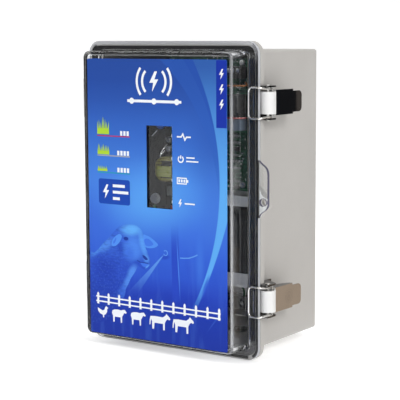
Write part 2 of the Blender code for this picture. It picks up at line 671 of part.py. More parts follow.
def build_board(paint):
    part("main_board", board_shape(), paint["board"])
    for number, (x, z) in enumerate(BOARD_SCREWS, 1):
        part(f"board_standoff_{number}", standoff_shape(x, z), paint["brass"])
        length = 10.0 if z > 5.0 else 3.3
        part(f"board_screw_{number}", screw_shape(x, z, BOARD_FRONT_Y, 2.8, 1.9, 1.5, length), paint["zinc"])
    part("charge_transformer_core", charge_core_shape(), paint["ferrite"])
    part("charge_transformer_coil", charge_coil_shape(), paint["yellow_tape"])
    part("relay", block((58.0, -3.5, 74.6), (73.5, BOARD_FRONT_Y, 93.4)), paint["black_plastic"])
    part("box_capacitor", block((57.0, 0.0, 62.4), (73.8, BOARD_FRONT_Y, 72.2)), paint["grey_blue"])
    part("power_terminal", block((58.5, 1.0, 107.5), (73.5, BOARD_FRONT_Y, 118.0)), paint["black_plastic"])
    part("heat_sink", heat_sink_shape(), paint["aluminium"])
    part("switching_transistor", block((12.0, 4.0, 78.0), (22.2, 8.6, 91.7)), paint["black_plastic"])
    for number, (x, z) in enumerate(((-5.5, 51.3), (-5.7, 42.8)), 1):
        part(f"round_capacitor_{number}", round_capacitor_shape(x, z), paint["aluminium"])
    for name, z in LAMP_Z.items():
        part(f"status_lamp_{name}", lamp_shape(z), paint["lamp"])


def build_power(paint):
    part("pulse_transformer", pulse_transformer_shape(), paint["potting"])
    for number, (x, z) in enumerate(STUD_POINTS, 1):
        part(f"output_stud_{number}", stud_shape(x, z), paint["zinc"])
    part("storage_capacitor", storage_capacitor_shape(), paint["grey_blue"])
    part("output_terminal_block", block((-30.0, 95.0, -118.0), (30.0, PLATE_Y[0] - GAP, -106.0)),
         paint["black_plastic"])
    colours = {"battery_lead_red": "red", "battery_lead_black": "black_plastic", "fence_lead": "white_sheet",
               "earth_lead": "green"}
    for name, (radius, route) in LEAD_ROUTES.items():
        part(name, tube(path_with_bends(route, 9.0), radius, 1), paint[colours[name]])


def main():
    for obj in list(bpy.data.objects):
        bpy.data.objects.remove(obj)
    paint = {
        "case": finish("case_grey", (0.50, 0.48, 0.45), 0.45),
        "clear": finish("clear_polycarbonate", (0.85, 0.88, 0.90), 0.05, alpha=0.25),
        "black_rubber": finish("black_rubber", (0.02, 0.02, 0.02), 0.8),
        "label": finish("printed_label", (0.05, 0.20, 0.75), 0.35),
        "steel": finish("stainless_steel", (0.75, 0.74, 0.72), 0.15, 1.0),
        "zinc": finish("zinc_plate", (0.68, 0.68, 0.66), 0.35, 1.0),
        "white_sheet": finish("white_sheet", (0.80, 0.80, 0.78), 0.4),
        "battery": finish("battery_black", (0.05, 0.05, 0.05), 0.5),
        "board": finish("board_green", (0.02, 0.16, 0.08), 0.4),
        "brass": finish("brass", (0.70, 0.55, 0.25), 0.3, 1.0),
        "ferrite": finish("ferrite", (0.03, 0.03, 0.03), 0.6),
        "yellow_tape": finish("yellow_tape", (0.45, 0.42, 0.10), 0.35),
        "black_plastic": finish("black_plastic", (0.02, 0.02, 0.02), 0.4),
        "grey_blue": finish("grey_blue", (0.30, 0.36, 0.42), 0.4),
        "aluminium": finish("aluminium", (0.70, 0.71, 0.72), 0.35, 1.0),
        "potting": finish("potting", (0.05, 0.05, 0.055), 0.55),
        "lamp": finish("lamp", (0.75, 0.80, 0.78), 0.15),
        "red": finish("red_lead", (0.55, 0.02, 0.02), 0.4),
        "green": finish("green_lead", (0.05, 0.35, 0.08), 0.4),
    }
    build_casing(paint)
    build_latches(paint)
    build_frame(paint)
    build_board(paint)
    build_power(paint)


main()
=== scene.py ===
"""Looks of the fence energizer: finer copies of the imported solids, their materials, and a plain studio.

Shapes are drawn in millimetres, x to the right, z up, and y back from the front plane of the door's flange,
as in the model's own source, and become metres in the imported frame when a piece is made.
"""

import json
import math
import random

import bmesh
import bpy
from mathutils import Matrix, Vector
from mathutils.geometry import interpolate_bezier


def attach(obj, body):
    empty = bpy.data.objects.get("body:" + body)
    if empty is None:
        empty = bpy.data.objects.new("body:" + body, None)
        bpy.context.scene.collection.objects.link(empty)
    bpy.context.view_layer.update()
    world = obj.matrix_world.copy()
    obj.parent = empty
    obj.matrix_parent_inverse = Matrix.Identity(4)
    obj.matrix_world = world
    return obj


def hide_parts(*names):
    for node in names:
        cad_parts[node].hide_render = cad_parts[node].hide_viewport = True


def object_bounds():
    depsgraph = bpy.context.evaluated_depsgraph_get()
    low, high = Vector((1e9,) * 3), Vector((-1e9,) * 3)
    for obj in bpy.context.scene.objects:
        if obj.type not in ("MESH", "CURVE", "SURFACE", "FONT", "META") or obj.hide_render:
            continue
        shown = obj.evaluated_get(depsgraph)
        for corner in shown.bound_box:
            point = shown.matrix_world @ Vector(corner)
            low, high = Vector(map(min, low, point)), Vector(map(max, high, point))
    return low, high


MM = 0.001
CASE_DEPTH = 119.5
CORNER_STEPS = 14
ROUND = 48
SMALL_ROUND = 28

FLANGE_HALF = (94.0, 140.0)
FLANGE_CORNER = 12.0
WALL_HALF = (83.0, 133.1)
WALL_CORNER = 3.8
DRAFT = 1.4
INSIDE_HALF = (80.0, 130.0)
INSIDE_CORNER = 4.0
INSIDE_DRAFT = 1.2
INSIDE_BACK_Y = 116.3
RIM_FRONT_Y = 4.2
RIM_BACK_Y = 10.0
DOOR_FLANGE_BACK_Y = 3.6
RAISED_HALF = (82.6, 131.1)
RAISED_CORNER = 6.0
FACE_Y = -22.0
FACE_EDGE_Y = -22.6
DOOR_WALL = 2.4
GASKET_OFFSET = 4.4
GASKET_WIDTH = 5.0
GASKET_FRONT_Y = 2.3
GASKET_BACK_Y = 3.9
RECESS_HALF = (79.5, 128.9)
RECESS_CENTRE = (0.0, -1.0)
RECESS_CORNER = 3.2
LABEL_HALF = (77.2, 126.9)
LABEL_CENTRE = (-0.2, -2.6)
LABEL_CORNER = 1.5
LABEL_FRONT_Y = -22.6
PRINT_STEP = 0.014
PRINT_THICKNESS = 0.011
WINDOW_X = (-10.0, 18.6)
WINDOW_Z = (-8.0, 65.6)
HINGE_X = -99.5
HINGE_Y = 3.9
HINGE_Z = (86.8, -86.8)
KNUCKLE_RADIUS = 4.0
PIN_RADIUS = 1.5
DOOR_KNUCKLE_HALF = 7.5
CASE_KNUCKLE_Z = (8.0, 18.0)
EAR_X = 103.5
EAR_Z = (-14.0, 38.0)
EAR_HOLE = (98.4, 1.2)
EAR_HOLE_RADIUS = 3.5
LUG_Y = (4.2, 8.4)
LUG_TOP = 15.5
LATCH_Z = (86.8, -86.8)
LATCH_NAMES = ("upper", "lower")
BARREL_X = 96.6
BARREL_Y = 11.4
BARREL_RADIUS = 7.1
BARREL_HALF = 9.6
SHEET = 1.0
BAIL_X = 99.0
BAIL_Y = 15.2
WIRE_RADIUS = 0.9
LEVER_HALF = 11.0
LEVER_OUTER_X = 100.5
LEVER_END_Y = 46.5
TAB_END_Y = 59.0
TAB_HALF = 9.3
SMUDGE_Y = 40.8
CHEEK_IN = 13.5
CHEEK_OUT = 14.7
LATCH_PIN_RADIUS = 1.4
NOTCH_X = 88.4
NOTCH_HALF = 15.8
RIVET_Y = 30.0
RIVET_Z = 7.0
KEEPER_X = (87.0, 89.6)
KEEPER_HALF = 9.3
PLATE_Y = (108.0, 109.5)
PLATE_SCREWS = ((-66.0, 112.0), (66.0, 112.0), (66.0, -112.0), (-66.0, -112.0))
BACK_RECESSES = ((-68.0, 118.0), (68.0, 118.0), (68.0, -118.0), (-68.0, -118.0))
CHASSIS_X = (-74.0, 74.0)
SHELF_Z = (-5.9, -4.4)
BATTERY_LOW = (-26.0, 17.0, -76.7)
BATTERY_HIGH = (75.0, 106.0, -6.7)
BOARD_Y = (12.0, 13.6)
BOARD_FRONT_Y = 11.7
BOARD_SCREWS = ((-3.5, -3.5), (-3.5, 121.0), (69.0, 121.0), (69.0, 14.0))
UPRIGHT_Y = (24.0, 25.5)
POT_X = (-70.0, -9.6)
POT_FRONT_Y = 6.0
STUD_POINTS = ((-60.0, -3.2), (-20.6, -3.2))
TERMINAL_SCREWS = ((62.2, 114.4), (69.8, 114.4))
OUTPUT_SCREWS = ((-16.0, -112.6), (0.0, -112.6), (14.0, -112.6))
ROUND_CAPACITORS = ((-5.5, 51.3), (-5.7, 42.8))
LAMP_X = 14.2
LAMP_Z = {"line": 56.6, "power": 36.4, "battery": 17.0, "energy": -2.3}
GROMMET_X = (-40.0, 0.0, 35.0)
GROMMET_Y = 60.0
GAP = 0.3


# ---------------------------------------------------------------- camera and frame

def in_frame(point):
    return Vector((point[0], point[1] - CASE_DEPTH, point[2])) * MM


def make_camera():
    """Looks from the latch side, slightly down, at the angle of the picture."""
    yaw, pitch, roll = math.radians(35.50), math.radians(-7.03), math.radians(-0.28)
    data = bpy.data.cameras.new("camera")
    data.lens = 122.49
    data.sensor_width = 36.0
    data.clip_end = 30.0
    camera = bpy.data.objects.new("camera", data)
    bpy.context.scene.collection.objects.link(camera)
    turn = Matrix.Rotation(yaw, 4, "Z") @ Matrix.Rotation(math.pi / 2 + pitch, 4, "X")
    camera.matrix_world = (Matrix.Translation(in_frame((731.01, -979.53, 147.55))) @ turn
                           @ Matrix.Rotation(roll, 4, "Z"))
    bpy.context.scene.camera = camera


make_camera()
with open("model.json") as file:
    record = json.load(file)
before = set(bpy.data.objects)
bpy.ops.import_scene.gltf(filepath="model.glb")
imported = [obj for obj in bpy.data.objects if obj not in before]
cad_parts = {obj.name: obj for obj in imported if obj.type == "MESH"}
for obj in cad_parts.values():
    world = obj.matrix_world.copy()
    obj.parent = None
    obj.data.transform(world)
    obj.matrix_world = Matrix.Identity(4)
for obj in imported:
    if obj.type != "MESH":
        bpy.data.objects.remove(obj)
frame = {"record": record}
cad_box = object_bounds()
slot_of = {item["node"]: item["material_slot"] for item in frame["record"]["subparts"]}
body_of = {node: body for body, nodes in frame["record"]["behaviour"]["bodies"].items() for node in nodes}


# ---------------------------------------------------------------- shapes

def recalculated(shape):
    bmesh.ops.recalc_face_normals(shape, faces=shape.faces)
    return shape


def ring(half, radius, y, centre=(0.0, 0.0)):
    """A rounded rectangle in the XZ plane, as points."""
    points = []
    for quarter, (side_x, side_z) in enumerate(((1, 1), (-1, 1), (-1, -1), (1, -1))):
        for step in range(CORNER_STEPS + 1):
            angle = math.radians(90 * (quarter + step / CORNER_STEPS))
            x = centre[0] + side_x * (half[0] - radius) + radius * math.cos(angle)
            z = centre[1] + side_z * (half[1] - radius) + radius * math.sin(angle)
            points.append((x, y, z))
    return points


def grown(half, by):
    return (half[0] + by, half[1] + by)


def loft(rings, closed=False):
    """Joins rings of points into one body, with both ends capped or joined to each other."""
    shape = bmesh.new()
    loops = [[shape.verts.new(point) for point in points] for points in rings]
    pairs = list(zip(loops, loops[1:]))
    if closed:
        pairs.append((loops[-1], loops[0]))
    for low, high in pairs:
        for here in range(len(low)):
            after = (here + 1) % len(low)
            shape.faces.new((low[here], low[after], high[after], high[here]))
    if not closed:
        shape.faces.new(loops[0])
        shape.faces.new(loops[-1])
    return recalculated(shape)


def prism(outline, low, high, along):
    """A flat outline drawn out along one axis."""
    axis = "xyz".index(along)
    rings = []
    for level in (low, high):
        points = []
        for first, second in outline:
            point = [first, second]
            point.insert(axis, level)
            points.append(point)
        rings.append(points)
    return loft(rings)


def block(low, high):
    outline = ((low[0], low[1]), (high[0], low[1]), (high[0], high[1]), (low[0], high[1]))
    return prism(outline, low[2], high[2], "z")


def turned(profile, centre, along, segments=ROUND, closed=False):
    """A profile of radii and heights, turned about an axis."""
    axis = "xyz".index(along)
    rings = []
    for radius, height in profile:
        points = []
        for step in range(segments):
            angle = 2 * math.pi * step / segments
            point = [radius * math.cos(angle), radius * math.sin(angle)]
            point.insert(axis, height)
            points.append([value + offset for value, offset in zip(point, centre)])
        rings.append(points)
    return loft(rings, closed)


def rod(radius, low, high, centre, along, segments=ROUND):
    return turned(((radius, low), (radius, high)), centre, along, segments)


def stack(rows, closed=False):
    """A loft through rounded rectangles: half sizes, how much they grow, radius, y, and maybe a centre."""
    return loft([ring(grown(half, by), radius, y, *centre) for half, by, radius, y, *centre in rows], closed)


def drilled(radius, low, high, points, segments=SMALL_ROUND):
    """Round bars along y through the points."""
    return [rod(radius, low, high, (x, 0.0, z), "y", segments) for x, z in points]


def both_sides(outline, z, near, far):
    """Two equal plates above and below a height."""
    return [prism(outline, z + near, z + far, "z"), prism(outline, z - far, z - near, "z")]


def softened(shape, width):
    """Rounds the sharp edges."""
    sharp = [edge for edge in shape.edges
             if len(edge.link_faces) == 2 and edge.calc_face_angle(0.0) > math.radians(50)]
    bmesh.ops.bevel(shape, geom=sharp, offset=width, segments=2, affect="EDGES", profile=0.5, clamp_overlap=True)
    return shape


def path_with_bends(corners, radius, steps=8):
    """A line through the corners, each rounded. The radius is one number, or one for each inner corner."""
    corners = [Vector(corner) for corner in corners]
    radii = radius if isinstance(radius, list) else [radius] * (len(corners) - 2)
    points = [corners[0]]
    for before, corner, after, bend in zip(corners, corners[1:], corners[2:], radii):
        reach = min(bend, (before - corner).length * 0.45, (after - corner).length * 0.45)
        start = corner + (before - corner).normalized() * reach
        end = corner + (after - corner).normalized() * reach
        points += interpolate_bezier(start, start.lerp(corner, 0.6), end.lerp(corner, 0.6), end, steps + 1)
    points.append(corners[-1])
    return points


def tube(points, radius, fineness=4):
    """A round wire along the points."""
    curve = bpy.data.curves.new("wire", "CURVE")
    curve.dimensions = "3D"
    curve.bevel_depth = radius
    curve.bevel_resolution = fineness
    curve.use_fill_caps = True
    spline = curve.splines.new("POLY")
    spline.points.add(len(points) - 1)
    for target, point in zip(spline.points, points):
        target.co = (*point, 1.0)
    wire = bpy.data.objects.new("wire", curve)
    bpy.context.scene.collection.objects.link(wire)
    shape = evaluated(wire)
    bpy.data.objects.remove(wire)
    return shape


def evaluated(obj):
    graph = bpy.context.evaluated_depsgraph_get()
    graph.update()
    shape = bmesh.new()
    shape.from_mesh(obj.evaluated_get(graph).to_mesh())
    bmesh.ops.remove_doubles(shape, verts=shape.verts, dist=0.0005)
    bmesh.ops.dissolve_degenerate(shape, dist=0.0005, edges=shape.edges)
    return shape


def placed(name, shape, material=None):
    """Puts a shape into the scene as an object."""
    mesh = bpy.data.meshes.new(name)
    shape.to_mesh(mesh)
    shape.free()
    if material:
        mesh.materials.append(material)
    obj = bpy.data.objects.new(name, mesh)
    bpy.context.scene.collection.objects.link(obj)
    return obj


def combined(shape, add=(), cut=()):
    """Unites a shape with others, then cuts others out of it."""
    body = placed("body", shape)
    others = []
    for operation, shapes in (("UNION", add), ("DIFFERENCE", cut)):
        for other in shapes:
            others.append(placed("other", other))
            boolean = body.modifiers.new(operation, "BOOLEAN")
            boolean.operation = operation
            boolean.object = others[-1]
    result = evaluated(body)
    for obj in others + [body]:
        bpy.data.objects.remove(obj)
    return result


def merged(shapes):
    """Several separate shapes as one."""
    mesh = bpy.data.meshes.new("merged")
    total = bmesh.new()
    for shape in shapes:
        shape.to_mesh(mesh)
        shape.free()
        total.from_mesh(mesh)
    bpy.data.meshes.remove(mesh)
    return total


def piece(name, shape, material, body="case", nodes=(), slot=None, smooth=38):
    """Makes a piece that rides on a body and stands for the named nodes."""
    for vertex in shape.verts:
        vertex.co = in_frame(vertex.co)
    obj = placed(name, shape, material)
    obj.data.shade_smooth()
    obj.data.set_sharp_from_angle(angle=math.radians(smooth))
    weighted = obj.modifiers.new("weighted", "WEIGHTED_NORMAL")
    weighted.keep_sharp = True
    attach(obj, body)
    if nodes:
        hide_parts(*nodes)
    slot or slot_of[nodes[0]]
    return obj


def stand_in(node, shape, material, smooth=38):
    """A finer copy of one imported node."""
    return piece(f"{node}_look", shape, material, body_of[node], (node,), smooth=smooth)


# ---------------------------------------------------------------- materials

def srgb(red, green, blue):
    """A screen colour from 0 to 255 as a linear one."""
    values = []
    for value in (red, green, blue):
        value /= 255
        values.append(value / 12.92 if value <= 0.04045 else ((value + 0.055) / 1.055) ** 2.4)
    return (*values, 1.0)


def linear(red, green, blue):
    """A linear colour."""
    return (red, green, blue, 1.0)


def scaled(colour, by):
    return tuple(min(1.0, value * by) for value in colour[:3]) + (1.0,)


class Value:
    """A number or colour in a material's node tree. Numbers take part in arithmetic."""

    def __init__(self, look, socket):
        self.look = look
        self.socket = socket

    def __add__(self, other):
        return self.look.math("ADD", self, other)

    def __sub__(self, other):
        return self.look.math("SUBTRACT", self, other)

    def __rsub__(self, other):
        return self.look.math("SUBTRACT", other, self)

    def __mul__(self, other):
        return self.look.math("MULTIPLY", self, other)

    def __truediv__(self, other):
        return self.look.math("DIVIDE", self, other)

    def __abs__(self):
        return self.look.math("ABSOLUTE", self)

    def __lt__(self, other):
        return self.look.math("LESS_THAN", self, other)

    def __gt__(self, other):
        return self.look.math("GREATER_THAN", self, other)

    def near(self, level, reach):
        """One within reach of the level, zero elsewhere."""
        return self.look.math("COMPARE", self, level, reach)


class Look:
    """A material under construction."""

    def __init__(self, name):
        self.material = bpy.data.materials.new(name)
        self.material.use_nodes = True
        self.tree = self.material.node_tree
        self.tree.nodes.clear()
        self.output = self.tree.nodes.new("ShaderNodeOutputMaterial")
        self.place = self.node("ShaderNodeTexCoord").outputs["Object"]

    def feed(self, socket, value):
        """Links a value to an input, or sets the input to a plain one."""
        source = value.socket if isinstance(value, Value) else value
        if isinstance(source, bpy.types.NodeSocket):
            self.tree.links.new(source, socket)
        else:
            socket.default_value = source

    def node(self, kind, values=None, **settings):
        made = self.tree.nodes.new(kind)
        for key, value in settings.items():
            setattr(made, key, value)
        for key, value in (values or {}).items():
            self.feed(made.inputs[key], value)
        return made

    def value(self, kind, values, output=0, **settings):
        """A new node's output, ready for arithmetic."""
        return Value(self, self.node(kind, values, **settings).outputs[output])

    def math(self, operation, *values, clamp=False):
        return self.value("ShaderNodeMath", dict(enumerate(values)), operation=operation, use_clamp=clamp)

    def part(self, vector, axis):
        return self.value("ShaderNodeSeparateXYZ", {"Vector": vector}, axis)

    def along(self, axis):
        """Where the point lies along one axis of the frame, in millimetres."""
        return self.part(self.place, axis) * 1000.0

    def length(self, across, up):
        return self.math("SQRT", across * across + up * up)

    def larger(self, first, second):
        return self.math("MAXIMUM", first, second)

    def mapped(self, scale, tilt=0.0):
        """The place, tilted about y and stretched."""
        return self.value("ShaderNodeMapping", {"Vector": self.place, "Rotation": (0.0, tilt, 0.0),
                                                "Scale": scale})

    def noise(self, scale, detail=3.0, where=None):
        return self.value("ShaderNodeTexNoise", {"Vector": where or self.place, "Scale": scale,
                                                 "Detail": detail, "Roughness": 0.55})

    def ramp(self, value, stops, ease="LINEAR"):
        made = self.node("ShaderNodeValToRGB", {"Fac": value})
        made.color_ramp.interpolation = ease
        elements = made.color_ramp.elements
        while len(elements) < len(stops):
            elements.new(0.5)
        for element, (position, colour) in zip(elements, stops):
            element.position = position
            element.color = colour
        return Value(self, made.outputs[0])

    def clouded(self, first, second, scale, detail=3.0):
        """Two tones that drift into each other."""
        return self.ramp(self.noise(scale, detail), ((0.3, first), (0.7, second)))

    def spread(self, value, low, high, to_low, to_high, smooth=False):
        return self.value("ShaderNodeMapRange", {"Value": value, "From Min": low, "From Max": high,
                                                 "To Min": to_low, "To Max": to_high},
                          interpolation_type="SMOOTHSTEP" if smooth else "LINEAR")

    def wander(self, source, low, high):
        """Turns a noise into a roughness between two values."""
        return self.spread(source, 0.3, 0.7, low, high)

    def mix(self, amount, first, second):
        return self.value("ShaderNodeMix", {0: amount, 6: first, 7: second}, 2, data_type="RGBA")

    def bump(self, height, strength, distance):
        return self.value("ShaderNodeBump", {"Height": height, "Strength": strength, "Distance": distance})

    def shader_mix(self, amount, first, second):
        return self.node("ShaderNodeMixShader", {0: amount, 1: first.outputs[0], 2: second.outputs[0]})

    def finish(self, shader):
        self.feed(self.output.inputs["Surface"], shader.outputs[0])
        return self.material

    def principled(self, **values):
        named = {key.replace("_", " ").title().replace("Ior", "IOR"): value for key, value in values.items()}
        return self.node("ShaderNodeBsdfPrincipled", named)


def moulded(name, colour, roughness, variation, grain, bump=0.15, depth=0.0002, coat=0.0, gloss=0.5):
    """Moulded plastic, rubber or paint: faint mottling, a fine grain, and gloss that wanders a little."""
    look = Look(name)
    fine = look.noise(grain, 2.0)
    return look.finish(look.principled(
        base_color=look.clouded(scaled(colour, 1 - variation), scaled(colour, 1 + variation), 26.0, 4.0),
        roughness=look.wander(look.noise(70.0), roughness * 0.88, min(1.0, roughness * 1.12)),
        coat_weight=coat, coat_roughness=0.1, specular_ior_level=gloss, normal=look.bump(fine, bump, depth)))


def metal(name, colour, roughness, streaks, variation, bump):
    """Rolled or drawn metal with fine streaks along one direction."""
    look = Look(name)
    lines = look.noise(1.0, where=look.mapped(streaks))
    return look.finish(look.principled(
        base_color=look.clouded(scaled(colour, 1 - variation), scaled(colour, 1 + variation), 45.0),
        roughness=look.wander(lines, roughness * 0.75, roughness * 1.3), metallic=1.0,
        normal=look.bump(lines, bump, 0.00005)))


def outline_distance(look, x, z, half, radius):
    """How far a point lies outside a rounded rectangle, in millimetres; less than zero inside."""
    beyond = [look.larger(abs(value) - (side - radius), 0.0) for value, side in ((x, half[0]), (z, half[1]))]
    return look.length(*beyond) - radius


def disc_mask(look, x, z, centre, radius, soft):
    """One inside a circle, falling to zero over a soft edge."""
    distance = look.length(x - centre[0], z - centre[1])
    return look.spread(distance, radius - soft / 2, radius + soft / 2, 1.0, 0.0, smooth=True)


def blob_mask(look, x, z, centre, radii, turn=0.0, soft=0.8):
    """One in the middle of a turned ellipse, falling smoothly to zero at its edge."""
    cos, sin = math.cos(math.radians(turn)), math.sin(math.radians(turn))
    away_x, away_z = x - centre[0], z - centre[1]
    across = away_x * cos + away_z * sin
    along = away_z * cos - away_x * sin
    distance = look.length(across / radii[0], along / radii[1])
    return look.spread(distance, 1.0 - soft, 1.0, 1.0, 0.0, smooth=True)


def faces_for_painted_shade(look):
    """One on faces that look straight up or down, zero on the others: the mask for painted shade on the steels.
    """
    facing = look.node("ShaderNodeNewGeometry").outputs["True Normal"]
    return look.spread(abs(look.part(facing, "Z")), 0.8, 0.95, 0.0, 1.0)


def bracket_steel(name):
    """Dark rolled stainless, with painted shade on the faces that look straight up or down."""
    look = Look(name)
    lines = look.noise(1.0, where=look.mapped((40.0, 40.0, 1800.0)))
    base = look.clouded(linear(0.16, 0.155, 0.15), linear(0.22, 0.215, 0.21), 60.0)
    # Painted shade: faces that look up or down are darkened to near black.
    return look.finish(look.principled(
        base_color=look.mix(faces_for_painted_shade(look), base, linear(0.08, 0.08, 0.085)),
        roughness=look.wander(lines, 0.14, 0.24), metallic=1.0, normal=look.bump(lines, 0.04, 0.00005)))


def lever_steel(name):
    """Polished sheet steel with a pale satin barrel, a smudge on the lower lever, and painted shade on the faces
    that look straight up or down.
    """
    look = Look(name)
    lines = look.noise(1.0, where=look.mapped((40.0, 40.0, 2600.0)))
    behind = look.along("Y") - (BARREL_Y - CASE_DEPTH)
    distance = look.length(look.along("X") - BARREL_X, behind)
    satin = look.spread(distance, BARREL_RADIUS + 0.5, BARREL_RADIUS + 0.1, 0.0, 1.0)
    smudge = blob_mask(look, behind, look.along("Z"), (SMUDGE_Y - BARREL_Y, LATCH_Z[1]), (9.5, 9.5), 0.0, 0.7)
    centre = in_frame((LEVER_OUTER_X, SMUDGE_Y, LATCH_Z[1]))
    from_centre = look.value("ShaderNodeVectorMath", {0: look.place, 1: tuple(-centre)}, operation="ADD")
    swirl = look.value("ShaderNodeTexWave", {"Vector": from_centre, "Scale": 130.0, "Distortion": 3.0,
                                             "Detail": 2.0, "Detail Scale": 60.0}, 1,
                       wave_type="RINGS", rings_direction="X")
    bright = look.clouded(linear(0.78, 0.765, 0.74), linear(0.83, 0.815, 0.79), 45.0)
    bright = look.mix(smudge * look.spread(swirl, 0.2, 0.8, 0.0, 0.3), bright, linear(0.42, 0.41, 0.40))
    # Painted shade: faces that look up or down are darkened to near black.
    steel = look.mix(faces_for_painted_shade(look), bright, linear(0.10, 0.10, 0.105))
    return look.finish(look.principled(
        base_color=look.mix(satin, steel, linear(0.83, 0.83, 0.82)),
        roughness=look.wander(lines, 0.05, 0.1) + satin * 0.36, metallic=1.0 - satin * 0.85,
        normal=look.bump(lines, 0.03, 0.00005)))


def painted_edge_highlights(look, x, y, z):
    """Where the clear door gets painted highlights, whitish bands that stand in for its lit edges: its rim, its
    right-hand edges, and a band at the top.
    """
    front = FACE_EDGE_Y - CASE_DEPTH
    beyond = outline_distance(look, x, z, FLANGE_HALF, FLANGE_CORNER)
    rim = beyond.near(0.0, 0.22) * y.near(1.9 - CASE_DEPTH, 1.75)
    corner = look.spread(outline_distance(look, x, z, RAISED_HALF, RAISED_CORNER), -0.55, -0.15, 0.0, 0.35)
    recess = look.spread(outline_distance(look, x, z, RECESS_HALF, RECESS_CORNER), -0.1, 0.1, 0.0, 0.4)
    recess = recess * ((y < front + 0.58) * (y > front + 0.03))
    # Painted highlights on the raised front's corner and the recess edge, on the right-hand side only.
    lines = look.spread(x, 60.0, 76.0, 0.0, 1.0) * look.larger(corner * (y < front + 1.3), recess)
    # Painted highlight along the rim, fading out towards the left.
    sides = rim * look.spread(x, -95.0, -60.0, 0.0, 0.85)
    # Painted highlight: a pale band along the top of the flange.
    upper = look.spread(z, 120.0, 134.0, 0.0, 0.4) * beyond.near(-1.9, 1.5)
    return look.larger(look.larger(sides, lines), upper)


def clear_plastic(name):
    """Solid clear polycarbonate with painted highlights along its edges and painted shade on the sides of its
    padlock ear. Light on its way to a surface goes straight through.
    """
    look = Look(name)
    x, y, z = (look.along(axis) for axis in "XYZ")
    clear = look.principled(
        base_color=look.clouded(linear(0.95, 0.965, 0.97), linear(0.97, 0.98, 0.985), 8.0, 2.0),
        roughness=look.spread(look.noise(30.0, 4.0), 0.35, 0.75, 0.01, 0.03), ior=1.5,
        transmission_weight=1.0, normal=look.bump(look.noise(55.0, 2.0), 0.02, 0.0003))
    # The painted highlight itself: a whitish mix of diffuse and translucent.
    edge_highlight_paint = look.node("ShaderNodeBsdfDiffuse", {"Color": linear(0.78, 0.79, 0.83), "Roughness": 0.4})
    glow = look.node("ShaderNodeBsdfTranslucent", {"Color": linear(0.78, 0.79, 0.83)})
    highlighted_edges = look.shader_mix(painted_edge_highlights(look, x, y, z), clear, look.shader_mix(0.4, edge_highlight_paint, glow))
    facing = look.part(look.node("ShaderNodeTexCoord").outputs["Normal"], "Y")
    ear = (x > FLANGE_HALF[0] + 0.6) * z.near(12.0, 26.3)
    ear_edge = ear * look.spread(abs(facing), 0.6, 0.95, 1.0, 0.0)
    # Painted shade: the padlock ear's side faces get a dark greyish violet.
    ear_edge_shade = look.node("ShaderNodeBsdfDiffuse", {"Color": srgb(104, 102, 120), "Roughness": 0.4})
    solid = look.shader_mix(ear_edge * 0.8, highlighted_edges, ear_edge_shade)
    path = look.node("ShaderNodeLightPath").outputs
    passing = look.larger(path["Is Shadow Ray"], path["Is Diffuse Ray"])
    open_way = look.node("ShaderNodeBsdfTransparent", {"Color": linear(0.95, 0.955, 0.96)})
    return look.finish(look.shader_mix(passing, solid, open_way))


def circuit_board(name):
    """Green solder mask with paler tracks and small tinned pads."""
    look = Look(name)
    black, white = linear(0.0, 0.0, 0.0), linear(1.0, 1.0, 1.0)
    flat = look.mapped((1.0, 0.0, 1.0))
    across, up = look.part(look.place, "X"), look.part(look.place, "Z")
    level = look.value("ShaderNodeCombineXYZ", {"X": across, "Y": up})
    brick = look.value("ShaderNodeTexBrick", {"Vector": level, "Scale": 95.0, "Mortar Size": 0.035,
                                              "Mortar Smooth": 0.2, "Brick Width": 0.9, "Row Height": 0.32,
                                              "Color1": black, "Color2": black, "Mortar": white}, "Color")
    tracks = brick * look.spread(look.noise(90.0, 2.0, where=flat), 0.42, 0.5, 0.0, 1.0)
    cells = look.value("ShaderNodeTexVoronoi", {"Vector": flat, "Scale": 260.0}, "Distance")
    pads = look.spread(cells, 0.16, 0.2, 1.0, 0.0)
    mask = look.mix(tracks, srgb(16, 62, 40), srgb(46, 108, 74))
    return look.finish(look.principled(
        base_color=look.mix(pads, mask, srgb(176, 178, 172)), metallic=pads * 0.8, coat_weight=0.4,
        roughness=look.wander(look.noise(200.0), 0.28, 0.4), normal=look.bump(tracks + pads, 0.3, 0.0001)))


def wound(name, light, dark, turns):
    """A layer of wound wire or stretched tape, with fine parallel bands."""
    look = Look(name)
    bands = look.value("ShaderNodeTexWave", {"Vector": look.place, "Scale": turns / 6.28, "Distortion": 0.6,
                                             "Detail": 2.0, "Detail Scale": 1.5}, 1, bands_direction="Z")
    return look.finish(look.principled(
        base_color=look.mix(bands, light, dark), roughness=look.wander(look.noise(120.0), 0.22, 0.4),
        normal=look.bump(bands, 0.4, 0.0002), coat_weight=0.5))


# Tones of the label's ground from bottom to top, by height in millimetres.
GROUND_TONES = (
    (-130.0, srgb(26, 54, 162)), (-100.0, srgb(28, 59, 172)), (-85.0, srgb(33, 64, 184)),
    (-70.0, srgb(44, 86, 205)), (-50.0, srgb(50, 97, 214)), (-30.0, srgb(60, 112, 222)),
    (-8.0, srgb(68, 126, 226)), (14.0, srgb(70, 130, 226)), (32.0, srgb(66, 124, 217)),
    (50.0, srgb(57, 110, 204)), (70.0, srgb(50, 98, 190)), (86.0, srgb(43, 86, 175)),
    (105.0, srgb(38, 77, 163)), (124.0, srgb(38, 76, 159)))
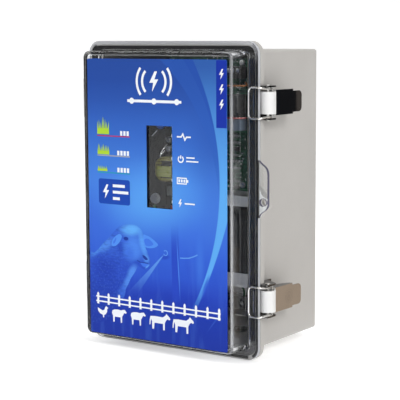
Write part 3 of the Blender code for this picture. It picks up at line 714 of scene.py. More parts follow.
# Soft spots of light and shade: centre, radii, turn, tone and strength.
GROUND_LIGHTS = (
    ((-4.0, 0.0), (72.0, 44.0), 8.0, srgb(92, 168, 244), 0.75),
    ((-80.0, -26.0), (40.0, 44.0), 0.0, srgb(52, 98, 210), 0.5),
    ((66.0, 50.0), (42.0, 62.0), 0.0, srgb(40, 80, 172), 0.5),
    ((64.0, -6.0), (20.0, 60.0), 0.0, srgb(62, 114, 214), 0.4),
    ((48.0, -55.0), (7.0, 34.0), 0.0, srgb(72, 132, 230), 0.45),
    ((36.0, -62.0), (6.0, 24.0), 8.0, srgb(44, 84, 204), 0.4),
    ((66.0, -76.0), (14.0, 30.0), -12.0, srgb(42, 80, 198), 0.4),
    ((65.5, -101.0), (0.9, 21.0), -37.7, srgb(66, 116, 220), 0.45))
CRESCENT_HOLLOW = (((54.0, -73.5), (3.0, 15.0), -21.8, srgb(46, 88, 208), 0.8),)
SHEEP_TONES = ((0.0, srgb(30, 58, 168)), (0.28, srgb(34, 66, 180)), (0.62, srgb(42, 80, 198)),
               (1.0, srgb(56, 102, 214)))
SHEEP_LIGHTS = (
    ((-57.0, -46.0), (14.0, 6.0), 42.0, srgb(82, 142, 234), 0.8),
    ((-60.0, -70.0), (20.0, 18.0), 30.0, srgb(32, 64, 180), 0.8),
    ((-40.0, -47.0), (8.0, 9.0), -30.0, srgb(36, 72, 190), 0.8),
    ((-68.0, -51.5), (16.0, 4.4), 36.0, srgb(82, 146, 238), 0.85),
    ((-26.0, -46.0), (17.0, 18.0), 10.0, srgb(76, 136, 236), 0.95),
    ((-30.5, -51.0), (8.0, 9.0), 20.0, srgb(60, 110, 224), 0.7),
    ((-28.0, -29.5), (18.0, 8.0), 6.0, srgb(98, 174, 248), 1.0),
    ((-15.0, -41.0), (5.4, 18.0), 16.0, srgb(92, 164, 246), 0.8),
    ((-11.0, -55.0), (5.0, 6.0), 20.0, srgb(92, 158, 242), 0.7),
    ((-22.0, -59.5), (8.0, 3.4), 10.0, srgb(38, 76, 196), 0.75),
    ((-9.6, -61.8), (4.6, 2.6), 30.0, srgb(100, 168, 246), 0.8),
    ((-27.5, -69.0), (6.8, 12.0), -32.0, srgb(88, 150, 240), 0.85),
    ((-33.0, -79.5), (6.6, 13.0), -30.0, srgb(84, 144, 238), 0.85),
    ((-39.0, -89.0), (8.0, 13.0), -30.0, srgb(62, 112, 222), 0.75),
    ((-35.2, -39.4), (5.6, 3.6), 12.0, srgb(54, 98, 216), 0.8))
INK_GLOSS = 0.12


def spotted(look, colour, x, z, spots, soft=0.8):
    """Lays soft spots over a colour."""
    for centre, radii, turn, tone, amount in spots:
        colour = look.mix(blob_mask(look, x, z, centre, radii, turn, soft) * amount, colour, tone)
    return colour


def ground_colour(look, x, z):
    """The label's blue ground: a gradient with a glow, long arcs, and a bright crescent on the right."""
    low, height = -130.0, 255.0
    ground = look.ramp(look.spread(z, low, low + height, 0.0, 1.0),
                       [((level - low) / height, tone) for level, tone in GROUND_TONES])
    ground = spotted(look, ground, x, z, GROUND_LIGHTS, 0.95)
    inner = disc_mask(look, x, z, (-95.8, -5.6), 164.6, 1.0)
    middle = disc_mask(look, x, z, (-120.0, 6.0), 192.0, 1.0)
    outer = disc_mask(look, x, z, (-153.1, 16.4), 222.4, 1.2)
    far = disc_mask(look, x, z, (-342.3, 111.9), 438.1, 1.2)
    high = look.spread(z, -40.0, 60.0, 0.0, 1.0, smooth=True)
    for wide, narrow, amount, tone in ((middle, inner, 0.45, srgb(44, 94, 188)),
                                       (outer, middle, 0.55, srgb(38, 84, 180))):
        between = look.math("SUBTRACT", wide, narrow, clamp=True) * high
        ground = look.mix(between * amount, ground, tone)
    rise = look.spread(z, -104.0, -62.0, 0.0, 1.0, smooth=True)
    crescent = look.math("SUBTRACT", far, outer, clamp=True) * rise * look.spread(z, 118.0, 10.0, 0.12, 1.0)
    ground = look.mix(crescent, ground, srgb(94, 172, 242))
    ground = spotted(look, ground, x, z, CRESCENT_HOLLOW)
    streaks = look.spread(look.noise(1.0, where=look.mapped((110.0, 1.0, 16.0), 0.45)), 0.5, 0.75, 0.0, 0.22)
    below = look.spread(z, -20.0, -70.0, 0.0, 1.0, smooth=True)
    return look.mix(streaks * below, ground, srgb(82, 132, 222))


def ink(name, draw):
    """A print in matt ink with a trace of gloss. draw gives its colour from the label's own x and z."""
    look = Look(name)
    colour = draw(look, look.along("X"), look.along("Z"))
    return look.finish(look.principled(base_color=colour, roughness=look.wander(look.noise(60.0), 0.42, 0.52),
                                       specular_ior_level=INK_GLOSS))


def sheep_colour(look, x, z):
    """A soft picture of a sheep in blue tones: pale face, darker fleece, light along the throat."""
    colour = look.ramp(look.spread(z, -112.0, -40.0, 0.0, 1.0), SHEEP_TONES, "EASE")
    colour = spotted(look, colour, x, z, SHEEP_LIGHTS)
    strands = look.noise(1.0, where=look.mapped((160.0, 1.0, 700.0), 0.7))
    fleece = look.spread(strands, 0.44, 0.66, 0.0, 1.0) * look.spread(x, -26.0, -46.0, 0.12, 0.7, smooth=True)
    colour = look.mix(fleece * 0.55, colour, srgb(26, 54, 150))
    curls = look.spread(look.noise(520.0, 2.0), 0.54, 0.68, 0.0, 1.0)
    curls = curls * look.spread(x, -20.0, -44.0, 0.08, 0.5, smooth=True)
    return look.mix(curls * 0.5, colour, srgb(82, 134, 226))


def post_colour(look, x, z):
    """A dark post, out of focus: it fades to both sides and downwards."""
    lean = x + look.spread(z, -90.0, -20.0, -0.6, 0.6)
    mask = look.spread(lean, 16.4, 18.0, 0.0, 1.0, smooth=True)
    mask = mask * look.spread(lean, 24.6, 26.2, 1.0, 0.0, smooth=True)
    mask = mask * look.spread(z, -91.0, -80.0, 0.35, 1.0)
    mask = mask * look.spread(z, -18.0, -50.0, 0.0, 1.0, smooth=True)
    colour = look.mix(mask * 0.9, ground_colour(look, x, z), srgb(38, 72, 194))
    knot = blob_mask(look, x, z, (10.0, -51.5), (7.0, 3.0), 10.0, 0.7)
    colour = look.mix(knot * 0.7, colour, srgb(36, 70, 190))
    line = blob_mask(look, x, z, (24.6, -60.0), (0.8, 36.0), 3.5, 0.8)
    return look.mix(line * 0.75, colour, srgb(84, 150, 242))


def wire_colour(look, x, z):
    """Fence wires that are pale at the knot and sink into the ground lower down."""
    fade = look.spread(z, -92.0, -50.0, 0.0, 0.6, smooth=True)
    return look.mix(fade, ground_colour(look, x, z), srgb(112, 178, 246))


def glowing(name, first, second, scale, colour, strength, roughness=0.5):
    """A studio surface that gives off light. Its own tone drifts between two."""
    look = Look(name)
    tint = look.clouded(first, second, scale)
    return look.finish(look.principled(base_color=colour or tint, roughness=roughness, specular_ior_level=0.0,
                                       emission_color=tint if colour else linear(1.0, 1.0, 1.0),
                                       emission_strength=strength))


INKS = {"white": (242, 246, 250), "green": (176, 214, 58), "band": (24, 52, 166), "panel": (28, 74, 178),
        "red": (176, 58, 110), "beige": (160, 166, 180), "teal": (46, 152, 188), "pale": (80, 144, 238),
        "mid": (64, 118, 228), "dark": (32, 62, 158)}
INSULATION = {"red": ((176, 34, 36), 0.06), "black": ((30, 30, 32), 0.10), "white": ((224, 224, 218), 0.03),
              "green": ((34, 120, 58), 0.06), "orange": ((150, 92, 42), 0.06)}


def make_materials():
    paint = {
        "case": moulded("grey_abs", srgb(184, 181, 177), 0.42, 0.015, 2600.0, 0.12, 0.00012),
        "clear": clear_plastic("clear_polycarbonate"),
        "gasket": moulded("gasket_foam", srgb(24, 23, 24), 0.92, 0.25, 900.0, 0.6, 0.0006, gloss=0.3),
        "rubber": moulded("black_rubber", srgb(32, 32, 33), 0.62, 0.12, 1400.0, 0.3, 0.0003),
        "lever": lever_steel("lever_stainless"),
        # The studs' zinc is pushed to near white: painted light, making up for the label's shadow over them.
        "stud": moulded("stud_zinc_painted_light", srgb(250, 252, 255), 0.3, 0.45, 420.0, 1.0, 0.0009, gloss=1.0),
        "steel": bracket_steel("pressed_stainless"),
        # Painted highlight: the lug's face is near white, brighter than the case's own grey.
        "lug": moulded("lug_painted_highlight", srgb(252, 252, 250), 0.4, 0.02, 2600.0, 0.12, 0.00012),
        "wire": metal("drawn_stainless", linear(0.80, 0.785, 0.76), 0.14, (700.0, 700.0, 60.0), 0.05, 0.05),
        "zinc": metal("bright_zinc", linear(0.66, 0.67, 0.66), 0.30, (300.0, 300.0, 300.0), 0.12, 0.08),
        "sheet": moulded("powder_coated_sheet", srgb(232, 232, 230), 0.5, 0.03, 1500.0, 0.25, 0.0003),
        "battery": moulded("battery_case", srgb(34, 35, 38), 0.6, 0.10, 1200.0, 0.3, 0.0003, gloss=0.3),
        "board": circuit_board("green_board"),
        "brass": metal("turned_brass", linear(0.71, 0.55, 0.27), 0.25, (900.0, 60.0, 900.0), 0.08, 0.06),
        "ferrite": moulded("ferrite", srgb(34, 33, 34), 0.6, 0.2, 900.0, 0.4, 0.0003),
        "tape": wound("yellow_tape", srgb(132, 128, 58), srgb(92, 84, 34), 700.0),
        "tape_pale": wound("pale_tape", srgb(122, 127, 46), srgb(104, 110, 36), 900.0),
        "black": moulded("black_component", srgb(30, 30, 31), 0.45, 0.15, 1500.0, 0.25),
        "blue_grey": moulded("grey_blue_case", srgb(112, 126, 142), 0.35, 0.06, 1500.0, coat=0.3),
        "aluminium": metal("drawn_aluminium", linear(0.74, 0.75, 0.76), 0.28, (1200.0, 40.0, 1200.0), 0.06,
                           0.08),
        "potting": moulded("casting_resin", srgb(50, 50, 53), 0.75, 0.28, 420.0, 0.7, 0.0007, gloss=0.3),
        "lens": moulded("lamp_lens", srgb(214, 222, 218), 0.12, 0.02, 800.0, 0.02, 0.0001, 0.8),
        "tan": moulded("resistor_body", srgb(112, 118, 116), 0.45, 0.08, 900.0),
        "blue_disc": moulded("varistor_coat", srgb(50, 96, 184), 0.3, 0.06, 900.0),
        "solder": metal("solder", linear(0.70, 0.71, 0.71), 0.25, (500.0, 500.0, 500.0), 0.12, 0.1),
        "label": ink("label_ground", ground_colour),
        "print_post": ink("print_post", post_colour),
        "print_wires": ink("print_wires", wire_colour),
        "print_sheep": ink("print_sheep", sheep_colour),
    }
    for name, colour in INKS.items():
        paint[f"print_{name}"] = moulded(f"print_{name}", srgb(*colour), 0.46, 0.03, 1500.0, 0.04, 0.0001,
                                         gloss=INK_GLOSS)
    for name, (colour, variation) in INSULATION.items():
        paint[f"{name}_lead"] = moulded(f"{name}_insulation", srgb(*colour), 0.35, variation, 900.0, 0.1)
    return paint


paint = make_materials()


# ---------------------------------------------------------------- casing

def lug_outline(top, bottom, start_x, end_x):
    """The padlock ear's outline, swelling out from the flange and back."""
    swell = 9.0
    upper = interpolate_bezier((start_x, top, 0), (start_x + 3.0, top - swell * 0.6, 0),
                               (end_x, top - swell * 0.45, 0), (end_x, top - swell * 1.5, 0), 16)
    lower = interpolate_bezier((end_x, bottom + swell * 1.6, 0), (end_x, bottom + swell * 0.7, 0),
                               (start_x + 0.5, bottom + swell * 0.9, 0), (start_x, bottom, 0), 16)
    inner_x = start_x - 2.0
    return [(inner_x, top)] + [(p[0], p[1]) for p in upper + lower] + [(inner_x, bottom)]


def padlock_hole():
    return drilled(EAR_HOLE_RADIUS, -4.0, 14.0, [EAR_HOLE], ROUND)[0]


def lug_shape(end_x, low, high):
    """The case's half of the padlock ear."""
    return prism(lug_outline(LUG_TOP, EAR_Z[0], FLANGE_HALF[0], end_x), low, high, "y")


def lug_face_shape():
    """The face of the case's lug, seen through the clear ear, made near white: a painted highlight on the case's
    grey plastic.
    """
    sweep = [(90.0, 12.0), (94.0, 12.0), (95.2, 8.8), (96.7, 6.7), (98.8, 5.4), (101.0, 4.6), (105.0, 3.9),
             (105.0, 30.0), (90.0, 30.0)]
    rim_side = block((90.0, 3.0, -20.0), (94.1, 5.0, 20.0))
    return combined(lug_shape(EAR_X - 0.7, 3.75, LUG_Y[0] - 0.02),
                    cut=[padlock_hole(), prism(sweep, 3.0, 5.0, "y"), rim_side])


def hinge_bore(z, reach):
    return rod(PIN_RADIUS + GAP, z - reach, z + reach, (HINGE_X, HINGE_Y, 0.0), "z")


def knuckle(low, high, front, back, inner_x):
    """A hinge knuckle and the web that joins it to the flange."""
    return [rod(KNUCKLE_RADIUS, low, high, (HINGE_X, HINGE_Y, 0.0), "z"),
            block((HINGE_X, front, low), (inner_x, back, high))]


def rivet_bores(z, low):
    return [rod(1.9, low, 88.0, (0.0, RIVET_Y, z + offset), "x", SMALL_ROUND)
            for offset in (RIVET_Z, -RIVET_Z)]


def case_shape():
    back_half = grown(WALL_HALF, -DRAFT)
    shell = stack((
        (INSIDE_HALF, -INSIDE_DRAFT, INSIDE_CORNER - 1.0, INSIDE_BACK_Y),
        (INSIDE_HALF, 0.0, INSIDE_CORNER, RIM_FRONT_Y + 0.2),
        (INSIDE_HALF, 0.2, INSIDE_CORNER + 0.2, RIM_FRONT_Y),
        (FLANGE_HALF, -0.6, FLANGE_CORNER - 0.6, RIM_FRONT_Y),
        (FLANGE_HALF, -0.18, FLANGE_CORNER - 0.2, RIM_FRONT_Y + 0.18),
        (FLANGE_HALF, 0.0, FLANGE_CORNER, RIM_FRONT_Y + 0.6),
        (FLANGE_HALF, 0.0, FLANGE_CORNER, RIM_BACK_Y - 0.5),
        (FLANGE_HALF, -0.15, FLANGE_CORNER - 0.15, RIM_BACK_Y - 0.15),
        (FLANGE_HALF, -0.5, FLANGE_CORNER - 0.5, RIM_BACK_Y),
        (WALL_HALF, 0.6, WALL_CORNER + 0.6, RIM_BACK_Y),
        (WALL_HALF, 0.15, WALL_CORNER + 0.2, RIM_BACK_Y + 0.25),
        (WALL_HALF, 0.0, WALL_CORNER, RIM_BACK_Y + 0.8),
        (back_half, 0.0, WALL_CORNER - 1.0, CASE_DEPTH - 1.7),
        (back_half, -0.13, WALL_CORNER - 1.1, CASE_DEPTH - 1.05),
        (back_half, -0.5, WALL_CORNER - 1.5, CASE_DEPTH - 0.5),
        (back_half, -1.05, WALL_CORNER - 2.0, CASE_DEPTH - 0.13),
        (back_half, -1.7, WALL_CORNER - 2.7, CASE_DEPTH),
    ))
    add = drilled(4.5, PLATE_Y[1] + GAP, INSIDE_BACK_Y + 1.0, PLATE_SCREWS)
    cut = drilled(1.9, PLATE_Y[1] - 1.0, INSIDE_BACK_Y - 0.5, PLATE_SCREWS)
    near, far = CASE_KNUCKLE_Z
    for z in HINGE_Z:
        for low, high in ((z + near, z + far), (z - far, z - near)):
            add += knuckle(low, high, RIM_FRONT_Y + 0.2, HINGE_Y + KNUCKLE_RADIUS, -92.5)
        cut.append(hinge_bore(z, 25.0))
    add.append(lug_shape(EAR_X - 0.5, LUG_Y[0] + 0.05, LUG_Y[1]))
    cut.append(padlock_hole())
    for z in LATCH_Z:
        cut.append(block((NOTCH_X, 2.0, z - NOTCH_HALF), (98.0, RIM_BACK_Y + 2.0, z + NOTCH_HALF)))
        cut += rivet_bores(z, 74.0)
    cut += [rod(8.0, -136.0, -126.0, (x, GROMMET_Y, 0.0), "z") for x in GROMMET_X]
    cut += drilled(4.0, CASE_DEPTH - 1.2, CASE_DEPTH + 1.0, BACK_RECESSES)
    return combined(shell, add, cut)


def door_shape():
    groove_outer = (FLANGE_HALF, GAP - GASKET_OFFSET, FLANGE_CORNER - 4.1)
    groove_inner = (FLANGE_HALF, -GASKET_OFFSET - GASKET_WIDTH - GAP, 3.0)
    inner_half = grown(RAISED_HALF, -DOOR_WALL)
    shell = stack((
        (RECESS_HALF, 0.0, RECESS_CORNER, FACE_Y, RECESS_CENTRE),
        (RECESS_HALF, 0.9, 3.9, FACE_EDGE_Y, RECESS_CENTRE),
        (RECESS_HALF, 1.2, 4.2, FACE_EDGE_Y, (0.0, -0.5)),
        (RAISED_HALF, -0.95, 5.05, FACE_EDGE_Y + 0.2),
        (RAISED_HALF, -0.5, 5.5, FACE_EDGE_Y + 0.5),
        (RAISED_HALF, -0.15, 5.8, FACE_EDGE_Y + 1.0),
        (RAISED_HALF, 0.0, RAISED_CORNER, FACE_EDGE_Y + 1.7),
        (RAISED_HALF, 0.9, RAISED_CORNER + 0.9, -0.8),
        (RAISED_HALF, 1.1, RAISED_CORNER + 1.1, -0.3),
        (RAISED_HALF, 1.5, RAISED_CORNER + 1.5, 0.0),
        (FLANGE_HALF, -0.5, FLANGE_CORNER - 0.5, 0.0),
        (FLANGE_HALF, -0.15, FLANGE_CORNER - 0.15, 0.15),
        (FLANGE_HALF, 0.0, FLANGE_CORNER, 0.5),
        (FLANGE_HALF, 0.0, FLANGE_CORNER, DOOR_FLANGE_BACK_Y - 0.3),
        (FLANGE_HALF, -0.3, FLANGE_CORNER - 0.3, DOOR_FLANGE_BACK_Y),
        (*groove_outer, DOOR_FLANGE_BACK_Y),
        (*groove_outer, GASKET_FRONT_Y - GAP),
        (*groove_inner, GASKET_FRONT_Y - GAP),
        (*groove_inner, DOOR_FLANGE_BACK_Y),
        (inner_half, 0.3, 4.3, DOOR_FLANGE_BACK_Y),
        (inner_half, 0.0, 4.0, DOOR_FLANGE_BACK_Y - 0.3),
        (inner_half, -0.6, 3.6, -18.2),
        (inner_half, -0.95, 3.3, -19.1),
        (inner_half, -1.8, 2.6, -19.6),
    ))
    ear = prism(lug_outline(EAR_Z[1], EAR_Z[0], FLANGE_HALF[0], EAR_X), 0.05, DOOR_FLANGE_BACK_Y - 0.05, "y")
    add = [softened(ear, 0.35)]
    cut = [padlock_hole()]
    for z in HINGE_Z:
        add += knuckle(z - DOOR_KNUCKLE_HALF, z + DOOR_KNUCKLE_HALF, 0.05, 3.4, -93.0)
        cut.append(hinge_bore(z, 12.0))
    for z in LATCH_Z:
        add.append(block((KEEPER_X[0], -1.0, z - KEEPER_HALF), (KEEPER_X[1], 0.5, z + KEEPER_HALF)))
    return combined(shell, add, cut)


def gasket_shape():
    outer = grown(FLANGE_HALF, -GASKET_OFFSET)
    inner = grown(outer, -GASKET_WIDTH)
    return stack((
        (outer, 0.0, FLANGE_CORNER - 4.4, GASKET_FRONT_Y),
        (outer, 0.0, FLANGE_CORNER - 4.4, GASKET_BACK_Y - 0.5),
        (outer, -0.25, FLANGE_CORNER - 4.6, GASKET_BACK_Y - 0.15),
        (outer, -0.8, FLANGE_CORNER - 5.2, GASKET_BACK_Y),
        (inner, 0.8, 4.1, GASKET_BACK_Y),
        (inner, 0.25, 3.5, GASKET_BACK_Y - 0.15),
        (inner, 0.0, 3.3, GASKET_BACK_Y - 0.5),
        (inner, 0.0, 3.3, GASKET_FRONT_Y),
    ), closed=True)


def seal_lip_shape(side):
    """A second lip of the seal along one long side, turning in with the flange's corners."""
    outline = []
    for inset, order in ((1.1, 1), (3.5, -1)):
        radius = FLANGE_CORNER - inset
        half = grown(FLANGE_HALF, -inset)
        curve = []
        for end in (1, -1):
            bend = [(half[0] - radius + radius * math.cos(math.radians(angle)),
                     end * (half[1] - radius + radius * math.sin(math.radians(angle))))
                    for angle in range(0, 61, 6)]
            curve += bend[::-1] if end > 0 else bend
        outline += curve[::order]
    points = [(side * x, z) for x, z in outline]
    return loft([[(x, y, z) for x, z in points] for y in (2.6, DOOR_FLANGE_BACK_Y + 0.2)])


def bottom_lip_shape():
    """The seal's second lip along the lower edge."""
    low = -FLANGE_HALF[1]
    return block((-82.0, 2.6, low + 1.1), (82.0, DOOR_FLANGE_BACK_Y + 0.2, low + 3.5))


def inner_lip_shape():
    """A thin lip of the seal that reaches inwards under the door's flange."""
    outer = grown(FLANGE_HALF, -GASKET_OFFSET - GASKET_WIDTH - 0.05)
    front, back = DOOR_FLANGE_BACK_Y + 0.05, RIM_FRONT_Y - 0.2
    return stack(((outer, 0.0, 3.2, front), (outer, 0.0, 3.2, back), (outer, -2.6, 2.6, back),
                  (outer, -2.6, 2.6, front)), closed=True)


def label_shape():
    low, high = LABEL_FRONT_Y, LABEL_FRONT_Y + 0.3
    sheet = loft([ring(LABEL_HALF, LABEL_CORNER, y, LABEL_CENTRE) for y in (low, high)])
    window = block((WINDOW_X[0], low - 1.0, WINDOW_Z[0]), (WINDOW_X[1], high + 1.0, WINDOW_Z[1]))
    return combined(sheet, cut=[window])


def hinge_pin_shape(z):
    half = CASE_KNUCKLE_Z[1] + GAP
    profile = ((0.9, -half - 1.2), (PIN_RADIUS, -half - 0.7), (PIN_RADIUS, half), (2.7, half),
               (2.7, half + 0.8), (2.3, half + 1.2), (1.4, half + 1.3))
    return turned(profile, (HINGE_X, HINGE_Y, z), "z", SMALL_ROUND)


def grommet_shape(x):
    profile = ((4.6, -133.8), (5.1, -134.6), (5.6, -135.1), (6.4, -135.2), (9.6, -135.2), (10.2, -135.0),
               (10.5, -134.4), (10.5, -133.0), (7.7, -133.0), (7.7, -128.9), (9.8, -128.9), (9.8, -127.6),
               (5.6, -127.6), (4.6, -130.0))
    return turned(profile, (x, GROMMET_Y, 0.0), "z")


# ---------------------------------------------------------------- the label's print

SIGN_LAYER = 8


def plate(outline, layer=SIGN_LAYER):
    """A thin printed shape on the label."""
    front = LABEL_FRONT_Y - PRINT_STEP * layer
    return prism(outline, front - PRINT_THICKNESS, front, "y")


def stroke(points, width, layer=SIGN_LAYER, closed=False):
    """A printed line of even width with mitred joints."""
    points = [Vector(point) for point in points]
    last = len(points) - 1
    sides = ([], [])
    for here, point in enumerate(points):
        ways = []
        if here > 0 or closed:
            ways.append((point - points[here - 1]).normalized())
        if here < last or closed:
            ways.append((points[(here + 1) % len(points)] - point).normalized())
        along = sum(ways, Vector((0.0, 0.0))).normalized()
        reach = width / 2 / max(0.35, along.dot(ways[0]))
        for side, sign in zip(sides, (1, -1)):
            side.append((point.x - sign * reach * along.y, point.y + sign * reach * along.x))
    if not closed:
        return plate(sides[0] + sides[1][::-1], layer)
    back = LABEL_FRONT_Y - PRINT_STEP * layer
    front = back - PRINT_THICKNESS
    rings = [[(x, y, z) for x, z in side] for y, side in
             ((front, sides[0]), (front, sides[1]), (back, sides[1]), (back, sides[0]))]
    return loft(rings, closed=True)


def arc(centre, radius, start, end, steps=16):
    return [(centre[0] + radius * math.cos(math.radians(start + (end - start) * step / steps)),
             centre[1] + radius * math.sin(math.radians(start + (end - start) * step / steps)))
            for step in range(steps + 1)]


def moved(points, to, size=1.0):
    return [(to[0] + size * x, to[1] + size * z) for x, z in points]


def smooth_outline(points):
    """A closed curve through the points."""
    steps = 5
    result = []
    count = len(points)
    for here in range(count):
        before, start, end, after = (Vector((*points[(here + k) % count], 0.0)) for k in (-1, 0, 1, 2))
        first = start + (end - before) / 6
        second = end - (after - start) / 6
        result += [(p.x, p.y) for p in interpolate_bezier(start, first, second, end, steps + 1)[:-1]]
    return result


BOLT = ((0.1, 1.0), (-0.55, -0.12), (-0.08, -0.12), (-0.22, -1.0), (0.55, 0.22), (0.08, 0.22), (0.42, 1.0))
COW = ((-1.0, 0.1), (-0.92, 0.42), (-0.45, 0.46), (0.35, 0.44), (0.62, 0.62), (0.72, 0.78), (0.84, 0.66),
       (1.05, 0.5), (1.12, 0.34), (1.0, 0.26), (0.84, 0.34), (0.68, 0.2), (0.56, -0.02), (0.54, -0.62),
       (0.38, -0.62), (0.36, -0.1), (-0.5, -0.1), (-0.56, -0.62), (-0.74, -0.62), (-0.76, 0.0), (-0.86, 0.2),
       (-0.94, -0.3), (-1.02, -0.3))
SHEEP = ((-0.8, 0.2), (-0.74, 0.46), (-0.5, 0.56), (-0.1, 0.6), (0.3, 0.56), (0.5, 0.62), (0.74, 0.66),
         (0.96, 0.42), (0.9, 0.3), (0.66, 0.34), (0.52, 0.1), (0.42, -0.04), (0.4, -0.62), (0.26, -0.62),
         (0.22, -0.12), (-0.46, -0.12), (-0.5, -0.62), (-0.64, -0.62), (-0.68, -0.02))
HEN = ((-0.86, 0.5), (-0.5, 0.34), (-0.1, 0.2), (0.16, 0.34), (0.26, 0.62), (0.42, 0.78), (0.58, 0.7),
       (0.76, 0.56), (0.58, 0.48), (0.56, 0.1), (0.36, -0.2), (0.1, -0.32), (0.1, -0.62), (-0.06, -0.62),
       (-0.1, -0.32), (-0.5, -0.2), (-0.8, 0.1))


def box_outline(x, z, half_x, half_z):
    return [(x + side_x * half_x, z + side_z * half_z)
            for side_x, side_z in ((-1, -1), (1, -1), (1, 1), (-1, 1))]


def bar(left, right, z, width, layer=SIGN_LAYER):
    return stroke([(left, z), (right, z)], width, layer)


def emblem_signs():
    """A bolt between waves, over a live wire on its insulators."""
    centre, wire_z = (-1.0, 104.5), 87.0
    waves = [stroke(arc(centre, radius, start + trim, end - trim), 2.4)
             for start, end in ((135, 225), (-45, 45)) for radius, trim in ((13.0, 0), (19.0, 6))]
    insulators = [plate(arc((x, wire_z), 2.7, 0, 342, 20), SIGN_LAYER + 1) for x in (-26.0, -1.0, 24.0)]
    return [plate(moved(BOLT, centre, 9.0)), *waves, bar(-31.0, 29.0, wire_z, 2.4), *insulators]


def status_signs():
    """Signs for line, power, battery and energy beside the window's lamps."""
    line_z, power_z, battery_z, energy_z = 56.8, 37.2, 18.1, -1.8
    pulse = moved(((0.0, 0.0), (4.6, 0.0), (6.4, 2.6), (8.6, -2.6), (10.4, 0.0), (15.0, 0.0)), (24.0, line_z))
    power = [stroke(arc((28.0, power_z), 2.7, 125, 415, 24), 1.2),
             stroke([(28.0, power_z + 0.5), (28.0, power_z + 3.4)], 1.2),
             bar(34.0, 47.0, power_z - 1.6, 1.2), bar(34.0, 43.0, power_z + 1.6, 1.2)]
    battery = [stroke(box_outline(29.0, battery_z, 4.9, 2.5), 1.0, closed=True),
               plate(box_outline(35.2, battery_z, 0.8, 1.2))]
    energy = [plate(moved(BOLT, (27.0, energy_z), 3.7)), bar(32.0, 43.0, energy_z, 1.3)]
    cells = [plate(box_outline(x, battery_z, 0.9, 1.3)) for x in (26.2, 29.0, 31.8)]
    return [stroke(pulse, 1.3), *power, *battery, *energy, *cells]


def range_signs():
    """Ticks beside the grass, and a bolt with bars on the dark panel."""
    ticks = [plate(box_outline(-31.0 - 3.7 * k, z, 1.25, 2.1))
             for z, count in ((57.3, 3), (39.3, 4), (23.9, 4)) for k in range(count)]
    bars = [bar(-49.0, -49.0 + length, 9.2 - 5.8 * k, 2.6) for k, length in enumerate((14.0, 18.0, 8.0))]
    return [*ticks, plate(moved(BOLT, (-57.0, 3.4), 6.6)), *bars]


def fence_signs():
    """A pale fence over a hen, two sheep and two cows."""
    rails = [stroke([(-70.5, z), (70.0, z - 1.0)], 1.3) for z in (-95.0, -99.4)]
    picket = ((-1.2, -101.9), (1.2, -101.9), (1.2, -92.4), (0.0, -90.9), (-1.2, -92.4))
    pickets = [plate(moved(picket, (-68.0 + 12.4 * k, 0.0)), SIGN_LAYER + 1) for k in range(12)]
    animals = [plate(moved(outline, (x, z), size))
               for outline, x, z, size in ((HEN, -62.0, -109.6, 7.8), (SHEEP, -44.0, -111.0, 9.8),
                                           (SHEEP, -22.0, -111.0, 9.8), (COW, 3.0, -111.2, 11.0),
                                           (COW, 29.0, -111.2, 11.0))]
    return rails + pickets + animals


def white_print():
    """Plain signs in place of all words."""
    bolts = [plate(moved(BOLT, (71.5, 112.0 - 13.0 * k), 4.4)) for k in range(3)]
    return merged(emblem_signs() + status_signs() + range_signs() + fence_signs() + bolts)


def grass_clump(base, height, width, rng):
    """One silhouette of leaning blades."""
    left = -66.5
    blades = 8
    outline = [(left + width, base), (left, base)]
    for k in range(blades):
        root = left + width * (k + 0.5) / blades
        tall = height * (0.62 + 0.38 * rng.random())
        tip = root + rng.uniform(-0.8, 0.8)
        outline += [(root - width * 0.4 / blades, base + height * 0.3), (tip, base + tall),
                    (root + width * 0.4 / blades, base + height * 0.3)]
    return plate(outline)


def grass_print():
    """Three clumps of grass, each lower than the last."""
    rng = random.Random(4)
    return merged([grass_clump(base, height, width, rng)
                   for base, height, width in ((55.9, 17.0, 14.0), (37.4, 10.4, 14.0), (22.1, 5.6, 11.5))])


SHEEP_OUTLINE = (
    (-77.2, -55.2), (-75.5, -53.5), (-72.5, -54.7), (-67.2, -50.8), (-60.2, -43.7), (-53.3, -37.8),
    (-44.4, -29.6), (-39.0, -26.5), (-31.0, -24.9), (-23.1, -25.2), (-17.8, -28.0), (-14.6, -32.0),
    (-13.1, -38.1), (-12.2, -44.3),
    (-9.6, -48.2), (-7.7, -51.7), (-7.3, -54.3), (-6.7, -57.4), (-7.9, -60.6), (-13.1, -64.6), (-15.7, -64.0),
    (-20.3, -62.5), (-22.3, -65.2), (-25.0, -69.1), (-29.0, -74.3), (-31.8, -79.4), (-35.2, -85.1),
    (-36.6, -91.1),
    (-42.8, -100.3), (-52.0, -112.0), (-77.2, -118.0))
EAR_RIGHT = ((-14.3, -33.5), (-11.4, -33.4), (-8.1, -34.1), (-2.3, -37.2), (2.1, -41.0), (-1.8, -43.8),
             (-7.6, -44.8), (-11.5, -44.3), (-13.8, -42.3))
EAR_RIGHT_INSIDE = ((-13.1, -37.1), (-9.5, -36.2), (-5.6, -38.0), (-3.0, -40.9), (-6.9, -43.0),
                    (-11.5, -42.7), (-13.1, -40.2))
EAR_LEFT = ((-41.8, -34.7), (-39.2, -36.7), (-41.6, -41.8), (-45.7, -45.5), (-49.7, -46.6), (-51.4, -44.8),
            (-50.0, -40.7), (-46.2, -36.8))
EAR_LEFT_INSIDE = ((-46.2, -38.5), (-45.6, -39.8), (-47.3, -43.1), (-49.0, -44.3), (-49.3, -42.5))
NOSTRIL = ((-15.5, -51.9), (-12.6, -52.4), (-9.6, -55.0), (-11.7, -56.0), (-14.6, -54.2))
LIP = ((-17.9, -58.9), (-9.6, -59.1), (-10.5, -61.2), (-14.4, -62.3))
MOUTH = ((-21.7, -57.1), (-18.2, -58.6), (-13.7, -58.6), (-9.0, -58.8))
